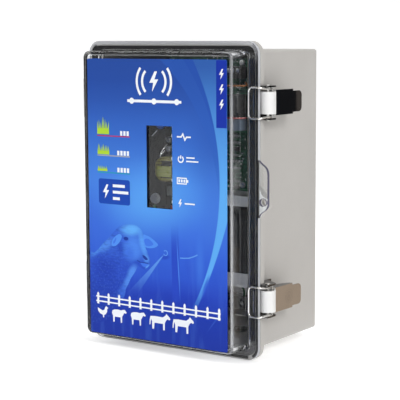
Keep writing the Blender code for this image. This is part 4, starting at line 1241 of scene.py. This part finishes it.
WIRE_WEDGE = ((8.4, -49.6), (5.8, -51.4), (-38.0, -92.4), (-24.0, -91.0))
WIRE_RIGHT = ((26.4, -50.6), (31.0, -50.4), (36.4, -49.8), (41.0, -48.2), (45.5, -46.2))


def picture(name, shapes, material):
    return piece(name, merged(shapes), material, "door", slot="printed_label")


def farm_picture():
    """The sheep's head and shoulder, and the post and wires behind it."""
    picture("print_post", [plate(box_outline(14.75, -53.75, 13.75, 37.75), 1)], paint["print_post"])
    picture("print_wires", [plate(WIRE_WEDGE, 2), stroke(WIRE_RIGHT, 1.1, 2),
                            stroke(arc((10.4, -47.6), 2.2, 200, 500, 16), 0.8, 3)], paint["print_wires"])
    sheep = [(max(-LABEL_HALF[0], x), z) for x, z in smooth_outline(SHEEP_OUTLINE)]
    picture("print_sheep", [plate(sheep, 3)], paint["print_sheep"])
    eye = [(-34.4 + 2.7 * math.cos(angle), -38.3 + 1.7 * math.sin(angle))
           for angle in (math.tau * step / 18 for step in range(18))]
    for name, tone, plates in (
            ("print_ears", "pale", [(EAR_RIGHT, 4), (EAR_LEFT, 4)]),
            ("print_shades", "mid", [(EAR_RIGHT_INSIDE, 5), (EAR_LEFT_INSIDE, 5), (LIP, 4)])):
        shapes = [plate(smooth_outline(points), layer) for points, layer in plates]
        picture(name, shapes, paint[f"print_{tone}"])
    picture("print_darks", [plate(eye, 5), plate(smooth_outline(NOSTRIL), 5), stroke(MOUTH, 0.8, 5)],
            paint["print_dark"])


def build_label():
    stand_in("front_label", label_shape(), paint["label"])
    farm_picture()
    picture("print_signs", [white_print()], paint["print_white"])
    picture("print_grass", [grass_print()], paint["print_green"])
    picture("print_band", [plate(box_outline(71.45, 94.9, 5.45, 28.9), 2)], paint["print_band"])
    panel = [(x, z) for x, _, z in ring((18.2, 11.5), 2.2, 0.0, (-47.4, 3.6))]
    picture("print_panel", [plate(panel, 2)], paint["print_panel"])
    for name, z in (("red", 54.4), ("beige", 36.4), ("teal", 20.9)):
        picture(f"print_{name}_line", [bar(-66.6, -28.8, z, 1.1, 2)], paint[f"print_{name}"])


# ---------------------------------------------------------------- latches

def latch_bore(z):
    """The hole for a lever's pin."""
    return rod(LATCH_PIN_RADIUS + GAP, z - 20.0, z + 20.0, (BARREL_X, BARREL_Y, 0.0), "z", SMALL_ROUND)


def bracket_shape(z):
    """A base plate on the case wall with two cheeks that carry the lever's pin."""
    wall_x = WALL_HALF[0] + GAP
    plate_part = block((wall_x, RIM_BACK_Y + 1.4, z - CHEEK_OUT), (wall_x + 1.2, 36.0, z + CHEEK_OUT))
    cheek = [(wall_x, RIM_BACK_Y + 1.4), (NOTCH_X + 0.5, RIM_BACK_Y + 1.0), (NOTCH_X + 0.5, 5.2), (98.4, 5.2),
             (99.6, 5.9), (100.0, 7.4), (100.0, 18.6), (99.3, 20.6), (97.4, 22.0), (88.0, 28.0),
             (wall_x, 30.0)]
    cheeks = both_sides(cheek, z, CHEEK_IN, CHEEK_OUT)
    return combined(plate_part, cheeks, [latch_bore(z), *rivet_bores(z, 80.0)])


def lever_shape(z):
    """A rolled barrel that turns on the pin, a channel behind it, and a thumb tab."""
    centre = (BARREL_X, BARREL_Y, z)
    inner = BARREL_RADIUS - SHEET
    barrel = turned(((BARREL_RADIUS, -BARREL_HALF + 0.2), (BARREL_RADIUS, BARREL_HALF - 0.2),
                     (BARREL_RADIUS - 0.2, BARREL_HALF), (inner, BARREL_HALF), (inner, -BARREL_HALF),
                     (BARREL_RADIUS - 0.2, -BARREL_HALF)), centre, "z", 64, closed=True)
    ears = [rod(inner + 0.4, z + low, z + high, (BARREL_X, BARREL_Y, 0.0), "z", 64)
            for low, high in ((7.4, 8.4), (-8.4, -7.4))]
    inner_x = LEVER_OUTER_X - SHEET
    face = block((inner_x, 17.4, z - LEVER_HALF), (LEVER_OUTER_X, LEVER_END_Y, z + LEVER_HALF))
    side = [(LEVER_OUTER_X - 0.1, 18.0), (LEVER_OUTER_X - 0.1, LEVER_END_Y), (97.2, LEVER_END_Y),
            (94.0, 40.0), (90.5, 31.0), (88.2, 25.0), (88.0, 21.0), (89.0, 19.6), (92.0, 19.0)]
    sides = both_sides(side, z, LEVER_HALF - SHEET, LEVER_HALF)
    tab_outline = [(LEVER_END_Y - 2.0, z - TAB_HALF), (LEVER_END_Y - 2.0, z + TAB_HALF)]
    for side_z, turn in ((1, 0), (-1, 1)):
        for step in range(9):
            angle = math.radians(90 * (turn + step / 8))
            tab_outline.append((TAB_END_Y - 4.0 + 4.0 * math.sin(angle),
                                z + side_z * (TAB_HALF - 4.0) + 4.0 * math.cos(angle)))
    tab = prism(tab_outline, inner_x, LEVER_OUTER_X, "x")
    for vertex in tab.verts:
        vertex.co.x += max(0.0, vertex.co.y - LEVER_END_Y) * 0.1
    bail_bore = rod(WIRE_RADIUS + GAP, z - 9.0, z + 9.0, (BAIL_X, BAIL_Y, 0.0), "z", SMALL_ROUND)
    return combined(barrel, [*ears, face, *sides, tab], [latch_bore(z), bail_bore])


def bail_shape(z):
    """A wire loop from one end of the barrel, round the front of the door's flange, to the other end."""
    half = [(BAIL_X, BAIL_Y, 6.6), (BAIL_X, BAIL_Y, 12.2), (99.9, 12.0, 12.2), (99.8, 9.4, 12.2),
            (98.2, 4.4, 12.25), (96.6, -1.3, 13.3), (84.9, -1.25, 13.5)]
    other = [(x, y, -height) for x, y, height in reversed(half)]
    corners = [(x, y, z + height) for x, y, height in half + other]
    bends = [2.4, 2.4, 2.4, 2.4, 2.4, 4.2]
    return tube(path_with_bends(corners, bends + bends[::-1]), WIRE_RADIUS, 6)


def latch_pin_shape(z):
    profile = ((1.2, -15.75), (2.0, -15.7), (2.4, -15.4), (2.4, -15.0), (LATCH_PIN_RADIUS, -15.0),
               (LATCH_PIN_RADIUS, 15.0), (2.4, 15.0), (2.4, 15.4), (2.0, 15.7), (1.2, 15.75))
    return turned(profile, (BARREL_X, BARREL_Y, z), "z", SMALL_ROUND)


def rivet_shape(z):
    outer = WALL_HALF[0] + 1.2 + 2 * GAP
    profile = ((1.4, 77.9), (2.2, 78.0), (2.6, 78.4), (2.6, 79.2), (1.6, 79.2), (1.6, outer), (3.0, outer),
               (2.95, outer + 0.4), (2.5, outer + 0.85), (1.6, outer + 1.15), (0.8, outer + 1.2))
    return turned(profile, (0.0, RIVET_Y, z), "x", SMALL_ROUND)


def build_latches():
    for side, z in zip(LATCH_NAMES, LATCH_Z):
        stand_in(f"latch_bracket_{side}", bracket_shape(z), paint["steel"])
        stand_in(f"latch_lever_{side}", lever_shape(z), paint["lever"])
        stand_in(f"latch_bail_{side}", bail_shape(z), paint["wire"], 60)
        stand_in(f"latch_pin_{side}", latch_pin_shape(z), paint["wire"])
        for number, offset in enumerate((RIVET_Z, -RIVET_Z), 1):
            stand_in(f"latch_rivet_{side}_{number}", rivet_shape(z + offset), paint["zinc"])


# ---------------------------------------------------------------- inside

def screw_shape(x, z, seat_y, head_radius, head_height, shank_radius, length):
    """A pan-head screw with a cross recess."""
    dome = ((0.45, 1.0), (0.8, 0.86), (0.97, 0.5), (1.0, 0.2), (1.0, 0.0))
    profile = [(head_radius * wide, -head_height * high) for wide, high in dome]
    profile += [(shank_radius, 0.0), (shank_radius, length - 0.4), (shank_radius * 0.7, length)]
    screw = turned(profile, (x, seat_y, z), "y", SMALL_ROUND)
    reach, half = head_radius * 0.6, head_radius * 0.14
    low, high = seat_y - head_height - 1.0, seat_y - head_height * 0.45
    slots = [block((x - reach, low, z - half), (x + reach, high, z + half)),
             block((x - half, low, z - reach), (x + half, high, z + reach))]
    return combined(screw, cut=slots)


def plate_shape():
    sheet = loft([ring((72.0, 120.0), 6.0, y) for y in PLATE_Y])
    return combined(sheet, cut=drilled(2.1, 100.0, 115.0, PLATE_SCREWS))


def chassis_shape():
    back = PLATE_Y[0] - GAP
    shelf_low, shelf_high = SHELF_Z
    fold = [(15.4, shelf_low), (back, shelf_low), (back, 48.0), (back - 1.5, 48.0), (back - 1.5, shelf_high),
            (16.9, shelf_high), (16.9, 3.2), (15.4, 3.2)]
    sheet = prism(fold, *CHASSIS_X, "x")
    upright = block((-6.0, UPRIGHT_Y[0], shelf_low + 0.2), (CHASSIS_X[1], UPRIGHT_Y[1], 127.0))
    return combined(sheet, [upright], drilled(1.9, 20.0, 30.0, BOARD_SCREWS[1:]))


def tray_shape():
    back = PLATE_Y[0] - GAP
    fold = [(14.4, -78.5), (back - 1.5, -78.5), (back - 1.5, -103.0), (back, -103.0), (back, -77.0),
            (15.9, -77.0), (15.9, -66.0), (14.4, -66.0)]
    return prism(fold, -30.0, 77.2, "x")


def battery_shape():
    low, high = BATTERY_LOW, BATTERY_HIGH
    half = ((high[0] - low[0]) / 2, (high[2] - low[2]) / 2)
    centre = ((high[0] + low[0]) / 2, (high[2] + low[2]) / 2)
    lid = low[1] + 62.0
    steps = ((-0.8, 1.0, low[1]), (-0.25, 1.5, low[1] + 0.25), (0.0, 1.8, low[1] + 0.8),
             (0.0, 1.8, lid - 0.5), (-0.6, 1.4, lid - 0.3), (-0.6, 1.4, lid + 0.3), (0.0, 1.8, lid + 0.5),
             (0.0, 1.8, high[1] - 0.8), (-0.25, 1.5, high[1] - 0.25), (-0.8, 1.0, high[1]))
    body = stack([(half, *step, centre) for step in steps])
    posts = [block((low[0] - 6.0, y - 3.2, -26.0), (low[0] + 1.0, y + 3.2, -22.0)) for y in (30.0, 92.0)]
    return combined(body, posts)


def board_shape():
    outline = [(-8.5, -8.0), (40.0, -8.0), (40.0, 8.5), (74.0, 8.5), (74.0, 126.0), (-8.5, 126.0)]
    board = prism(outline, *BOARD_Y, "y")
    return combined(board, cut=drilled(1.9, 8.0, 18.0, BOARD_SCREWS))


def standoff_shape(x, z):
    back = UPRIGHT_Y[0] if z > 5.0 else 15.4
    spacer = drilled(3.2, BOARD_Y[1] + GAP, back - GAP, [(x, z)], 6)[0]
    return combined(spacer, cut=drilled(1.8, 0.0, back + 5.0, [(x, z)]))


def pulse_transformer_shape():
    half = ((POT_X[1] - POT_X[0]) / 2, 43.0)
    centre = ((POT_X[1] + POT_X[0]) / 2, 27.0)
    slab = stack(((half, -1.0, 2.0, POT_FRONT_Y, centre), (half, -0.3, 2.7, POT_FRONT_Y + 0.3, centre),
                  (half, 0.0, 3.0, POT_FRONT_Y + 1.0, centre), (half, 0.0, 3.0, 15.1, centre)))
    pot = block((POT_X[0] + 2.0, 15.0, SHELF_Z[1] + GAP), (POT_X[1] - 2.0, 58.0, 68.0))
    lip_room = block((POT_X[0] - 5.0, 15.09, -20.0), (POT_X[1] + 5.0, 17.3, 3.6))
    return combined(slab, [pot], [lip_room, *drilled(2.5, 0.0, 14.0, STUD_POINTS)])


def stud_shape(x, z):
    head = softened(drilled(4.2, POT_FRONT_Y - 4.4, POT_FRONT_Y - 1.3, [(x, z)], 6)[0], 0.3)
    shank = turned(((4.7, POT_FRONT_Y - 1.45), (5.0, POT_FRONT_Y - 1.2), (5.0, POT_FRONT_Y - GAP),
                    (2.1, POT_FRONT_Y - GAP), (2.1, 13.0)), (x, 0.0, z), "y")
    return combined(head, [shank])


def charge_core_shape():
    front = softened(block((-6.2, -11.9, 19.3), (11.0, -8.8, 28.7)), 0.4)
    leg = block((-3.3, -9.0, 21.0), (7.3, 5.0, 27.0))
    return combined(front, [leg])


def core_tape_shape():
    """A sleeve of tape around the front bar of the core."""
    half, centre = ((1.6, 4.8), (-10.35, 24.0))
    loops = []
    for x, by in ((-5.7, 0.0), (-5.7, 0.1), (10.5, 0.1), (10.5, 0.0)):
        outline = ring(grown(half, by), 0.5 + by, 0.0, centre)
        loops.append([(x, first, second) for first, _, second in outline])
    return loft(loops, closed=True)


def coil_shade_shapes():
    """Dark blocks in the coil's hole, between the winding and the core's bar: painted shade for the shadow
    inside the hole.
    """
    return [block((-3.7, -7.0, low), (7.7, 4.0, high)) for low, high in ((17.8, 20.8), (27.2, 33.6))]


def charge_coil_shape():
    steps = ((-1.0, -8.5), (-0.3, -8.2), (0.0, -7.3), (0.0, 4.4), (-0.3, 5.3), (-1.0, 5.6))
    coil = stack([((11.0, 11.1), by, 9.0 + by, y, (0.1, 25.7)) for by, y in steps])
    foot = block((-7.8, 5.0, 16.0), (9.0, BOARD_FRONT_Y, 35.5))
    hole = block((-3.7, -10.0, 17.8), (7.7, 5.4, 33.6))
    return combined(coil, [foot], [hole])


def heat_sink_shape():
    outline = [(2.0, BOARD_FRONT_Y)]
    for fin in range(6):
        left = 2.0 + fin * 5.2
        outline += [(left, 7.5), (left, -8.0), (left + 1.6, -8.0), (left + 1.6, 7.5)]
    outline += [(29.6, BOARD_FRONT_Y)]
    return softened(prism(outline, 92.0, 116.0, "z"), 0.25)


def lamp_shape(z):
    dome = [(2.5 * math.sin(math.radians(angle)), -13.0 - 2.5 * math.cos(math.radians(angle)))
            for angle in (12, 24, 36, 48, 60, 72, 84, 90)]
    profile = dome + [(2.5, -8.0), (2.9, -8.0), (2.9, -7.0), (2.6, -7.0), (2.6, BOARD_FRONT_Y)]
    return turned(profile, (LAMP_X, 0.0, z), "y", SMALL_ROUND)


def round_capacitor_shape(x, z):
    profile = ((2.0, 4.6), (2.5, 4.75), (2.7, 5.1), (2.7, 10.5), (2.45, 10.8), (2.45, 11.1), (2.7, 11.35),
               (2.7, BOARD_FRONT_Y))
    return turned(profile, (x, 0.0, z), "y", SMALL_ROUND)


def storage_capacitor_shape():
    profile = ((16.6, 2.0), (17.9, 2.3), (18.5, 3.0), (18.7, 4.0), (18.7, 58.0), (18.2, 58.8), (18.2, 59.8),
               (18.7, 60.6), (18.7, 63.6), (18.2, 64.8), (17.2, 65.2))
    return turned(profile, (0.0, 62.0, SHELF_Z[1] + GAP + 18.7), "x")


LEAD_ROUTES = {
    "battery_lead_red": (0.9, "red_lead", [
        (-32.4, 30.0, -24.0), (-38.0, 30.0, -24.0), (-41.0, 18.0, -24.0), (-33.0, 9.0, -23.0),
        (-10.0, 8.0, -21.0), (-4.6, 8.0, -15.0), (-4.6, 8.0, -9.0)]),
    "battery_lead_black": (0.9, "black_lead", [
        (-32.4, 92.0, -24.0), (-42.0, 91.0, -24.0), (-46.0, 60.0, -26.0), (-44.0, 18.0, -28.0),
        (-33.0, 9.0, -27.0), (-6.0, 8.0, -25.0), (2.0, 8.0, -18.0), (2.0, 8.0, -9.0)]),
    "fence_lead": (1.6, "white_lead", [
        (-60.0, 3.6, -9.0), (-60.0, 3.6, -18.0), (-61.0, 14.0, -30.0), (-62.0, 50.0, -60.0),
        (-60.0, 86.0, -86.0), (-40.0, 98.0, -92.0), (-16.0, 101.0, -93.0), (-16.0, 101.0, -105.7)]),
    "earth_lead": (1.3, "green_lead", [
        (-20.6, 3.9, -9.0), (-20.6, 3.9, -16.0), (-34.0, 6.0, -34.0), (-52.0, 30.0, -48.0),
        (-54.0, 70.0, -74.0), (-44.0, 90.0, -86.0), (0.0, 99.0, -90.0), (14.0, 101.0, -98.0),
        (14.0, 101.0, -105.7)]),
}


BOARD_BLOCKS = (
    ("relay", (58.0, -3.5, 74.6), (73.5, BOARD_FRONT_Y, 93.4), 0.6, "black"),
    ("box_capacitor", (57.0, 0.0, 62.4), (73.8, BOARD_FRONT_Y, 72.2), 0.7, "blue_grey"),
    ("switching_transistor", (12.0, 4.0, 78.0), (22.2, 8.6, 91.7), 0.3, "black"),
)
BOARD_WIRES = (
    ("orange", 0.8, [(52.0, 11.0, 101.0), (52.0, 2.0, 101.0), (76.0, 2.0, 101.4), (76.6, 9.0, 101.6),
                     (72.0, 11.0, 104.0)]),
    ("red", 0.7, [(55.0, 11.0, 73.4), (55.0, -1.6, 73.5), (74.4, -2.2, 73.5), (76.0, 3.0, 73.5),
                  (74.6, 9.0, 73.4)]),
)
COIL_WIRES = (
    [(-5.5, 4.4, 43.0), (-6.4, 0.0, 41.0), (-7.6, -4.0, 38.0), (-6.4, -6.0, 35.6)],
    [(-6.6, 5.0, 47.0), (-8.2, 2.0, 44.0), (-8.4, -2.0, 40.0), (-8.0, -5.0, 36.0)],
)


def resistor(x, z, length, upright):
    """A small axial resistor with its two bent leads."""
    axis = "z" if upright else "x"
    steps = ((0.7, 0.0), (1.15, 0.5), (1.15, 1.4), (0.95, 1.8))
    body = [(radius, inset - length / 2) for radius, inset in steps]
    body += [(radius, length / 2 - inset) for radius, inset in reversed(steps)]
    return turned(body, (x, 10.4, z), axis, 16)


def resistor_leads(x, z, length, upright):
    reach = length / 2 + 1.4
    ends = [(reach, 11.9), (reach, 10.4), (-reach, 10.4), (-reach, 11.9)]
    points = [(x, y, z + at) if upright else (x + at, y, z) for at, y in ends]
    return tube(path_with_bends(points, 0.6, 3), 0.28, 2)


def chip(x, z, half_x, half_z, depth=1.4):
    """A moulded chip that lies on the board."""
    return softened(block((x - half_x, 11.9 - depth, z - half_z), (x + half_x, 11.9, z + half_z)), 0.2)


def resistor_spots(rng):
    """Uneven rows of small parts on the right half of the board."""
    spots = []
    for row in range(9):
        for column in range(5):
            if rng.random() < 0.78:
                spots.append((24.0 + 9.8 * column + rng.uniform(-0.8, 0.8),
                              12.0 + 5.6 * row + rng.uniform(-0.5, 0.5)))
    return spots


def solder_drop(rng):
    x, z = rng.uniform(-6.0, 72.0), rng.uniform(10.0, 124.0)
    return turned(((0.25, -0.55), (0.6, -0.35), (0.85, 0.0)), (x, 11.98, z), "y", 10)


def build_board_details():
    """Small parts on the board, drawn from one seeded set so that they are the same each time."""
    rng = random.Random(11)
    spots = resistor_spots(rng)
    axial = [(x, z) for number, (x, z) in enumerate(spots) if number % 7 != 3]
    chips = [chip(x, z, 3.0, 1.9) for x, z in spots[3::7]]
    chips += [chip(36.0, 104.0, 5.0, 8.0, 3.0), chip(46.5, 120.0, 6.0, 2.6, 2.4)]
    sizes = [(x, z, 6.4, False) for x, z in axial]
    sizes += [(x, z, 7.0, True) for x, z in ((36.0, 70.0), (48.0, 72.0), (40.0, 82.0), (50.0, 84.0))]
    drops = [solder_drop(rng) for _ in range(70)]
    piece("board_resistors", merged([resistor(*size) for size in sizes]), paint["tan"], slot="black_plastic")
    piece("board_resistor_leads", merged([resistor_leads(*size) for size in sizes]), paint["solder"],
          slot="zinc_plate")
    piece("board_chips", merged(chips), paint["black"], slot="black_plastic")
    piece("board_solder", merged(drops), paint["solder"], slot="zinc_plate")
    for colour, radius, route in BOARD_WIRES:
        piece(f"board_wire_{colour}", tube(path_with_bends(route, 2.0), radius), paint[f"{colour}_lead"],
              slot="red_lead")
    piece("coil_wires", merged([tube(path_with_bends(route, 2.0), 0.35, 2) for route in COIL_WIRES]),
          paint["solder"], slot="zinc_plate")
    profile = ((3.4, -1.4), (4.4, -1.1), (4.8, -0.4), (4.8, 0.4), (4.4, 1.1), (3.4, 1.4))
    disc = turned(profile, (-13.6, 4.3, 65.4), "y", 32)
    piece("board_disc_blue", disc, paint["blue_disc"], slot="grey_blue_plastic")
    small = softened(block((-8.2, 5.4, 0.2), (-2.2, BOARD_FRONT_Y, 8.6)), 0.4)
    piece("board_box_tan", small, paint["tan"], slot="black_plastic")
    mark = [(-25.2, 53.9), (-24.4, 53.4), (-18.3, 58.7), (-18.8, 59.5)]
    piece("potting_mark", prism(mark, POT_FRONT_Y - 0.05, POT_FRONT_Y - 0.01, "y"), paint["print_white"],
          slot="potting")


def terminal_shape():
    body = softened(block((58.5, 1.0, 107.5), (73.5, BOARD_FRONT_Y, 118.0)), 0.4)
    mouths = [block((x - 2.2, 4.0, 105.0), (x + 2.2, 8.4, 109.6)) for x, _ in TERMINAL_SCREWS]
    return combined(body, cut=drilled(2.5, -2.0, 3.2, TERMINAL_SCREWS) + mouths)


def output_terminal_shape():
    body = softened(block((-30.0, 95.0, -118.0), (30.0, PLATE_Y[0] - GAP, -106.0)), 0.5)
    return combined(body, cut=drilled(3.0, 90.0, 97.4, OUTPUT_SCREWS))


def build_inside():
    stand_in("mounting_plate", plate_shape(), paint["zinc"])
    for number, (x, z) in enumerate(PLATE_SCREWS, 1):
        screw = screw_shape(x, z, PLATE_Y[0] - GAP, 3.6, 2.3, 1.6, 6.5)
        stand_in(f"plate_screw_{number}", screw, paint["zinc"])
    stand_in("inner_chassis", chassis_shape(), paint["sheet"])
    stand_in("battery_tray", softened(tray_shape(), 0.3), paint["sheet"])
    stand_in("backup_battery", battery_shape(), paint["battery"])
    stand_in("main_board", board_shape(), paint["board"])
    for number, (x, z) in enumerate(BOARD_SCREWS, 1):
        stand_in(f"board_standoff_{number}", standoff_shape(x, z), paint["brass"])
        length = 10.0 if z > 5.0 else 3.3
        screw = screw_shape(x, z, BOARD_FRONT_Y, 2.8, 1.9, 1.5, length)
        stand_in(f"board_screw_{number}", screw, paint["zinc"])
    stand_in("charge_transformer_core", charge_core_shape(), paint["ferrite"])
    piece("core_tape", core_tape_shape(), paint["tape_pale"], slot="yellow_tape")
    # Painted shade: dark blocks that fill the coil's hole.
    piece("coil_hole_shade", merged(coil_shade_shapes()), paint["ferrite"], slot="ferrite")
    stand_in("charge_transformer_coil", charge_coil_shape(), paint["tape"])
    for node, low, high, edge, colour in BOARD_BLOCKS:
        stand_in(node, softened(block(low, high), edge), paint[colour])
    stand_in("power_terminal", terminal_shape(), paint["black"])
    stand_in("heat_sink", heat_sink_shape(), paint["aluminium"])
    for number, (x, z) in enumerate(ROUND_CAPACITORS, 1):
        stand_in(f"round_capacitor_{number}", round_capacitor_shape(x, z), paint["aluminium"])
    for name, z in LAMP_Z.items():
        stand_in(f"status_lamp_{name}", lamp_shape(z), paint["lens"])
    stand_in("pulse_transformer", pulse_transformer_shape(), paint["potting"])
    for number, (x, z) in enumerate(STUD_POINTS, 1):
        stand_in(f"output_stud_{number}", stud_shape(x, z), paint["stud"])
    stand_in("storage_capacitor", storage_capacitor_shape(), paint["blue_grey"])
    stand_in("output_terminal_block", output_terminal_shape(), paint["black"])
    for name, (radius, colour, route) in LEAD_ROUTES.items():
        stand_in(name, tube(path_with_bends(route, 9.0), radius, 3), paint[colour], 60)
    for name, points, sizes in (("power", TERMINAL_SCREWS, (3.1, 2.2, 1.3, 1.2, 0.1)),
                                ("output", OUTPUT_SCREWS, (97.3, 2.7, 1.4, 1.4, 0.1))):
        screws = [screw_shape(x, z, *sizes) for x, z in points]
        piece(f"{name}_terminal_screws", merged(screws), paint["zinc"], slot="zinc_plate")
    build_board_details()


def build_casing():
    stand_in("rear_case", case_shape(), paint["case"])
    stand_in("front_door", door_shape(), paint["clear"])
    stand_in("door_gasket", gasket_shape(), paint["gasket"])
    for name, shape in (("left", seal_lip_shape(-1)), ("right", seal_lip_shape(1)),
                        ("bottom", bottom_lip_shape()), ("inside", inner_lip_shape())):
        piece(f"seal_lip_{name}", shape, paint["gasket"], "door", slot="black_rubber")
    # A near-white face over the case's grey lug: painted highlight.
    piece("lug_face", lug_face_shape(), paint["lug"], slot=slot_of["rear_case"])
    for side, z in zip(LATCH_NAMES, HINGE_Z):
        stand_in(f"hinge_pin_{side}", hinge_pin_shape(z), paint["wire"])
    for number, x in enumerate(GROMMET_X, 1):
        stand_in(f"cable_grommet_{number}", grommet_shape(x), paint["rubber"])


# ---------------------------------------------------------------- studio

def reflection_card(name, corners, colour):
    """A board beside the picture that only shows as a reflection."""
    shape = bmesh.new()
    shape.faces.new([shape.verts.new(corner) for corner in corners])
    card = placed(name, shape, glowing(name, scaled(colour, 0.9), colour, 1.5, linear(0.0, 0.0, 0.0), 1.0))
    for ray in ("camera", "diffuse", "transmission", "shadow", "volume_scatter"):
        setattr(card, f"visible_{ray}", False)


def upright_card(name, start, end, low, high, colour):
    reflection_card(name, [(*start, low), (*end, low), (*end, high), (*start, high)], colour)


def flat_card(name, low, high, floor_z, colour):
    level = floor_z + 0.001
    reflection_card(name, [(low[0], low[1], level), (high[0], low[1], level), (high[0], high[1], level),
                           (low[0], high[1], level)], colour)


def build_cards(floor_z):
    """Dark boards behind the latches and before the door, a tan one on the floor, a white one by the lens."""
    dark = srgb(24, 25, 28)
    upright_card("card_behind_latches", (0.30, 0.95), (0.83, 0.84), floor_z, 0.55, dark)
    upright_card("card_behind_tabs", (0.83, 0.84), (1.30, 0.74), floor_z, 0.55, srgb(72, 68, 66))
    upright_card("card_before_door", (-1.35, -0.55), (-0.15, -1.25), floor_z, 0.80, srgb(40, 41, 44))
    upright_card("card_by_lens", (0.25, -1.7), (2.2, -0.9), floor_z, 1.6, linear(1.0, 1.0, 1.0))
    flat_card("card_on_floor", (0.12, -0.06), (0.52, 0.36), floor_z, srgb(168, 152, 136))
    flat_card("card_far_floor", (0.20, 0.36), (1.25, 0.95), floor_z, dark)
    flat_card("card_near_floor", (-1.0, -1.1), (0.0, -0.20), floor_z, srgb(34, 35, 38))


def build_lamp(name, spot, size, power):
    data = bpy.data.lights.new(name, "AREA")
    data.shape = "SQUARE"
    data.size = size
    data.energy = power
    lamp = bpy.data.objects.new(name, data)
    lamp.location = spot
    lamp.rotation_euler = (Vector((0.0, -0.06, 0.0)) - Vector(spot)).to_track_quat("-Z", "Y").to_euler()
    bpy.context.scene.collection.objects.link(lamp)


def build_studio():
    """A pale floor that sweeps up into a backdrop, a dim sky, and large soft lamps."""
    turn = Matrix.Rotation(math.radians(35.5), 4, "Z")
    floor_z = cad_box[0][2] - 0.0003
    floor_end, bend = 1.6, 1.4
    angles = [math.radians(angle) for angle in range(6, 91, 6)]
    curve = [(floor_end + bend * math.sin(angle), bend - bend * math.cos(angle)) for angle in angles]
    profile = [(-4.0, 0.0), (floor_end, 0.0), *curve, (floor_end + bend, 4.5)]
    shape = bmesh.new()
    rows = [[shape.verts.new(turn @ Vector((x, y, floor_z + z))) for y, z in profile] for x in (-4.5, 4.5)]
    for here in range(len(profile) - 1):
        shape.faces.new((rows[0][here], rows[1][here], rows[1][here + 1], rows[0][here + 1]))
    paper = glowing("studio_paper", linear(0.90, 0.90, 0.90), linear(0.93, 0.93, 0.93), 2.0, None, 0.42, 0.9)
    sweep = placed("studio_sweep", shape, paper)
    sweep.data.shade_smooth()
    build_cards(floor_z)
    world = bpy.data.worlds.new("studio")
    world.use_nodes = True
    sky = world.node_tree.nodes["Background"]
    sky.inputs["Color"].default_value = linear(1.0, 1.0, 1.0)
    sky.inputs["Strength"].default_value = 0.30
    bpy.context.scene.world = world
    build_lamp("key_lamp", (-1.3, -1.5, 1.5), 1.4, 20.0)
    build_lamp("side_lamp", (1.7, -0.5, 1.2), 0.7, 17.0)
    build_lamp("top_lamp", (0.2, 0.1, 1.9), 1.4, 10.0)
    bpy.context.scene.view_settings.view_transform = "Standard"


build_casing()
build_label()
build_latches()
build_inside()
build_studio()
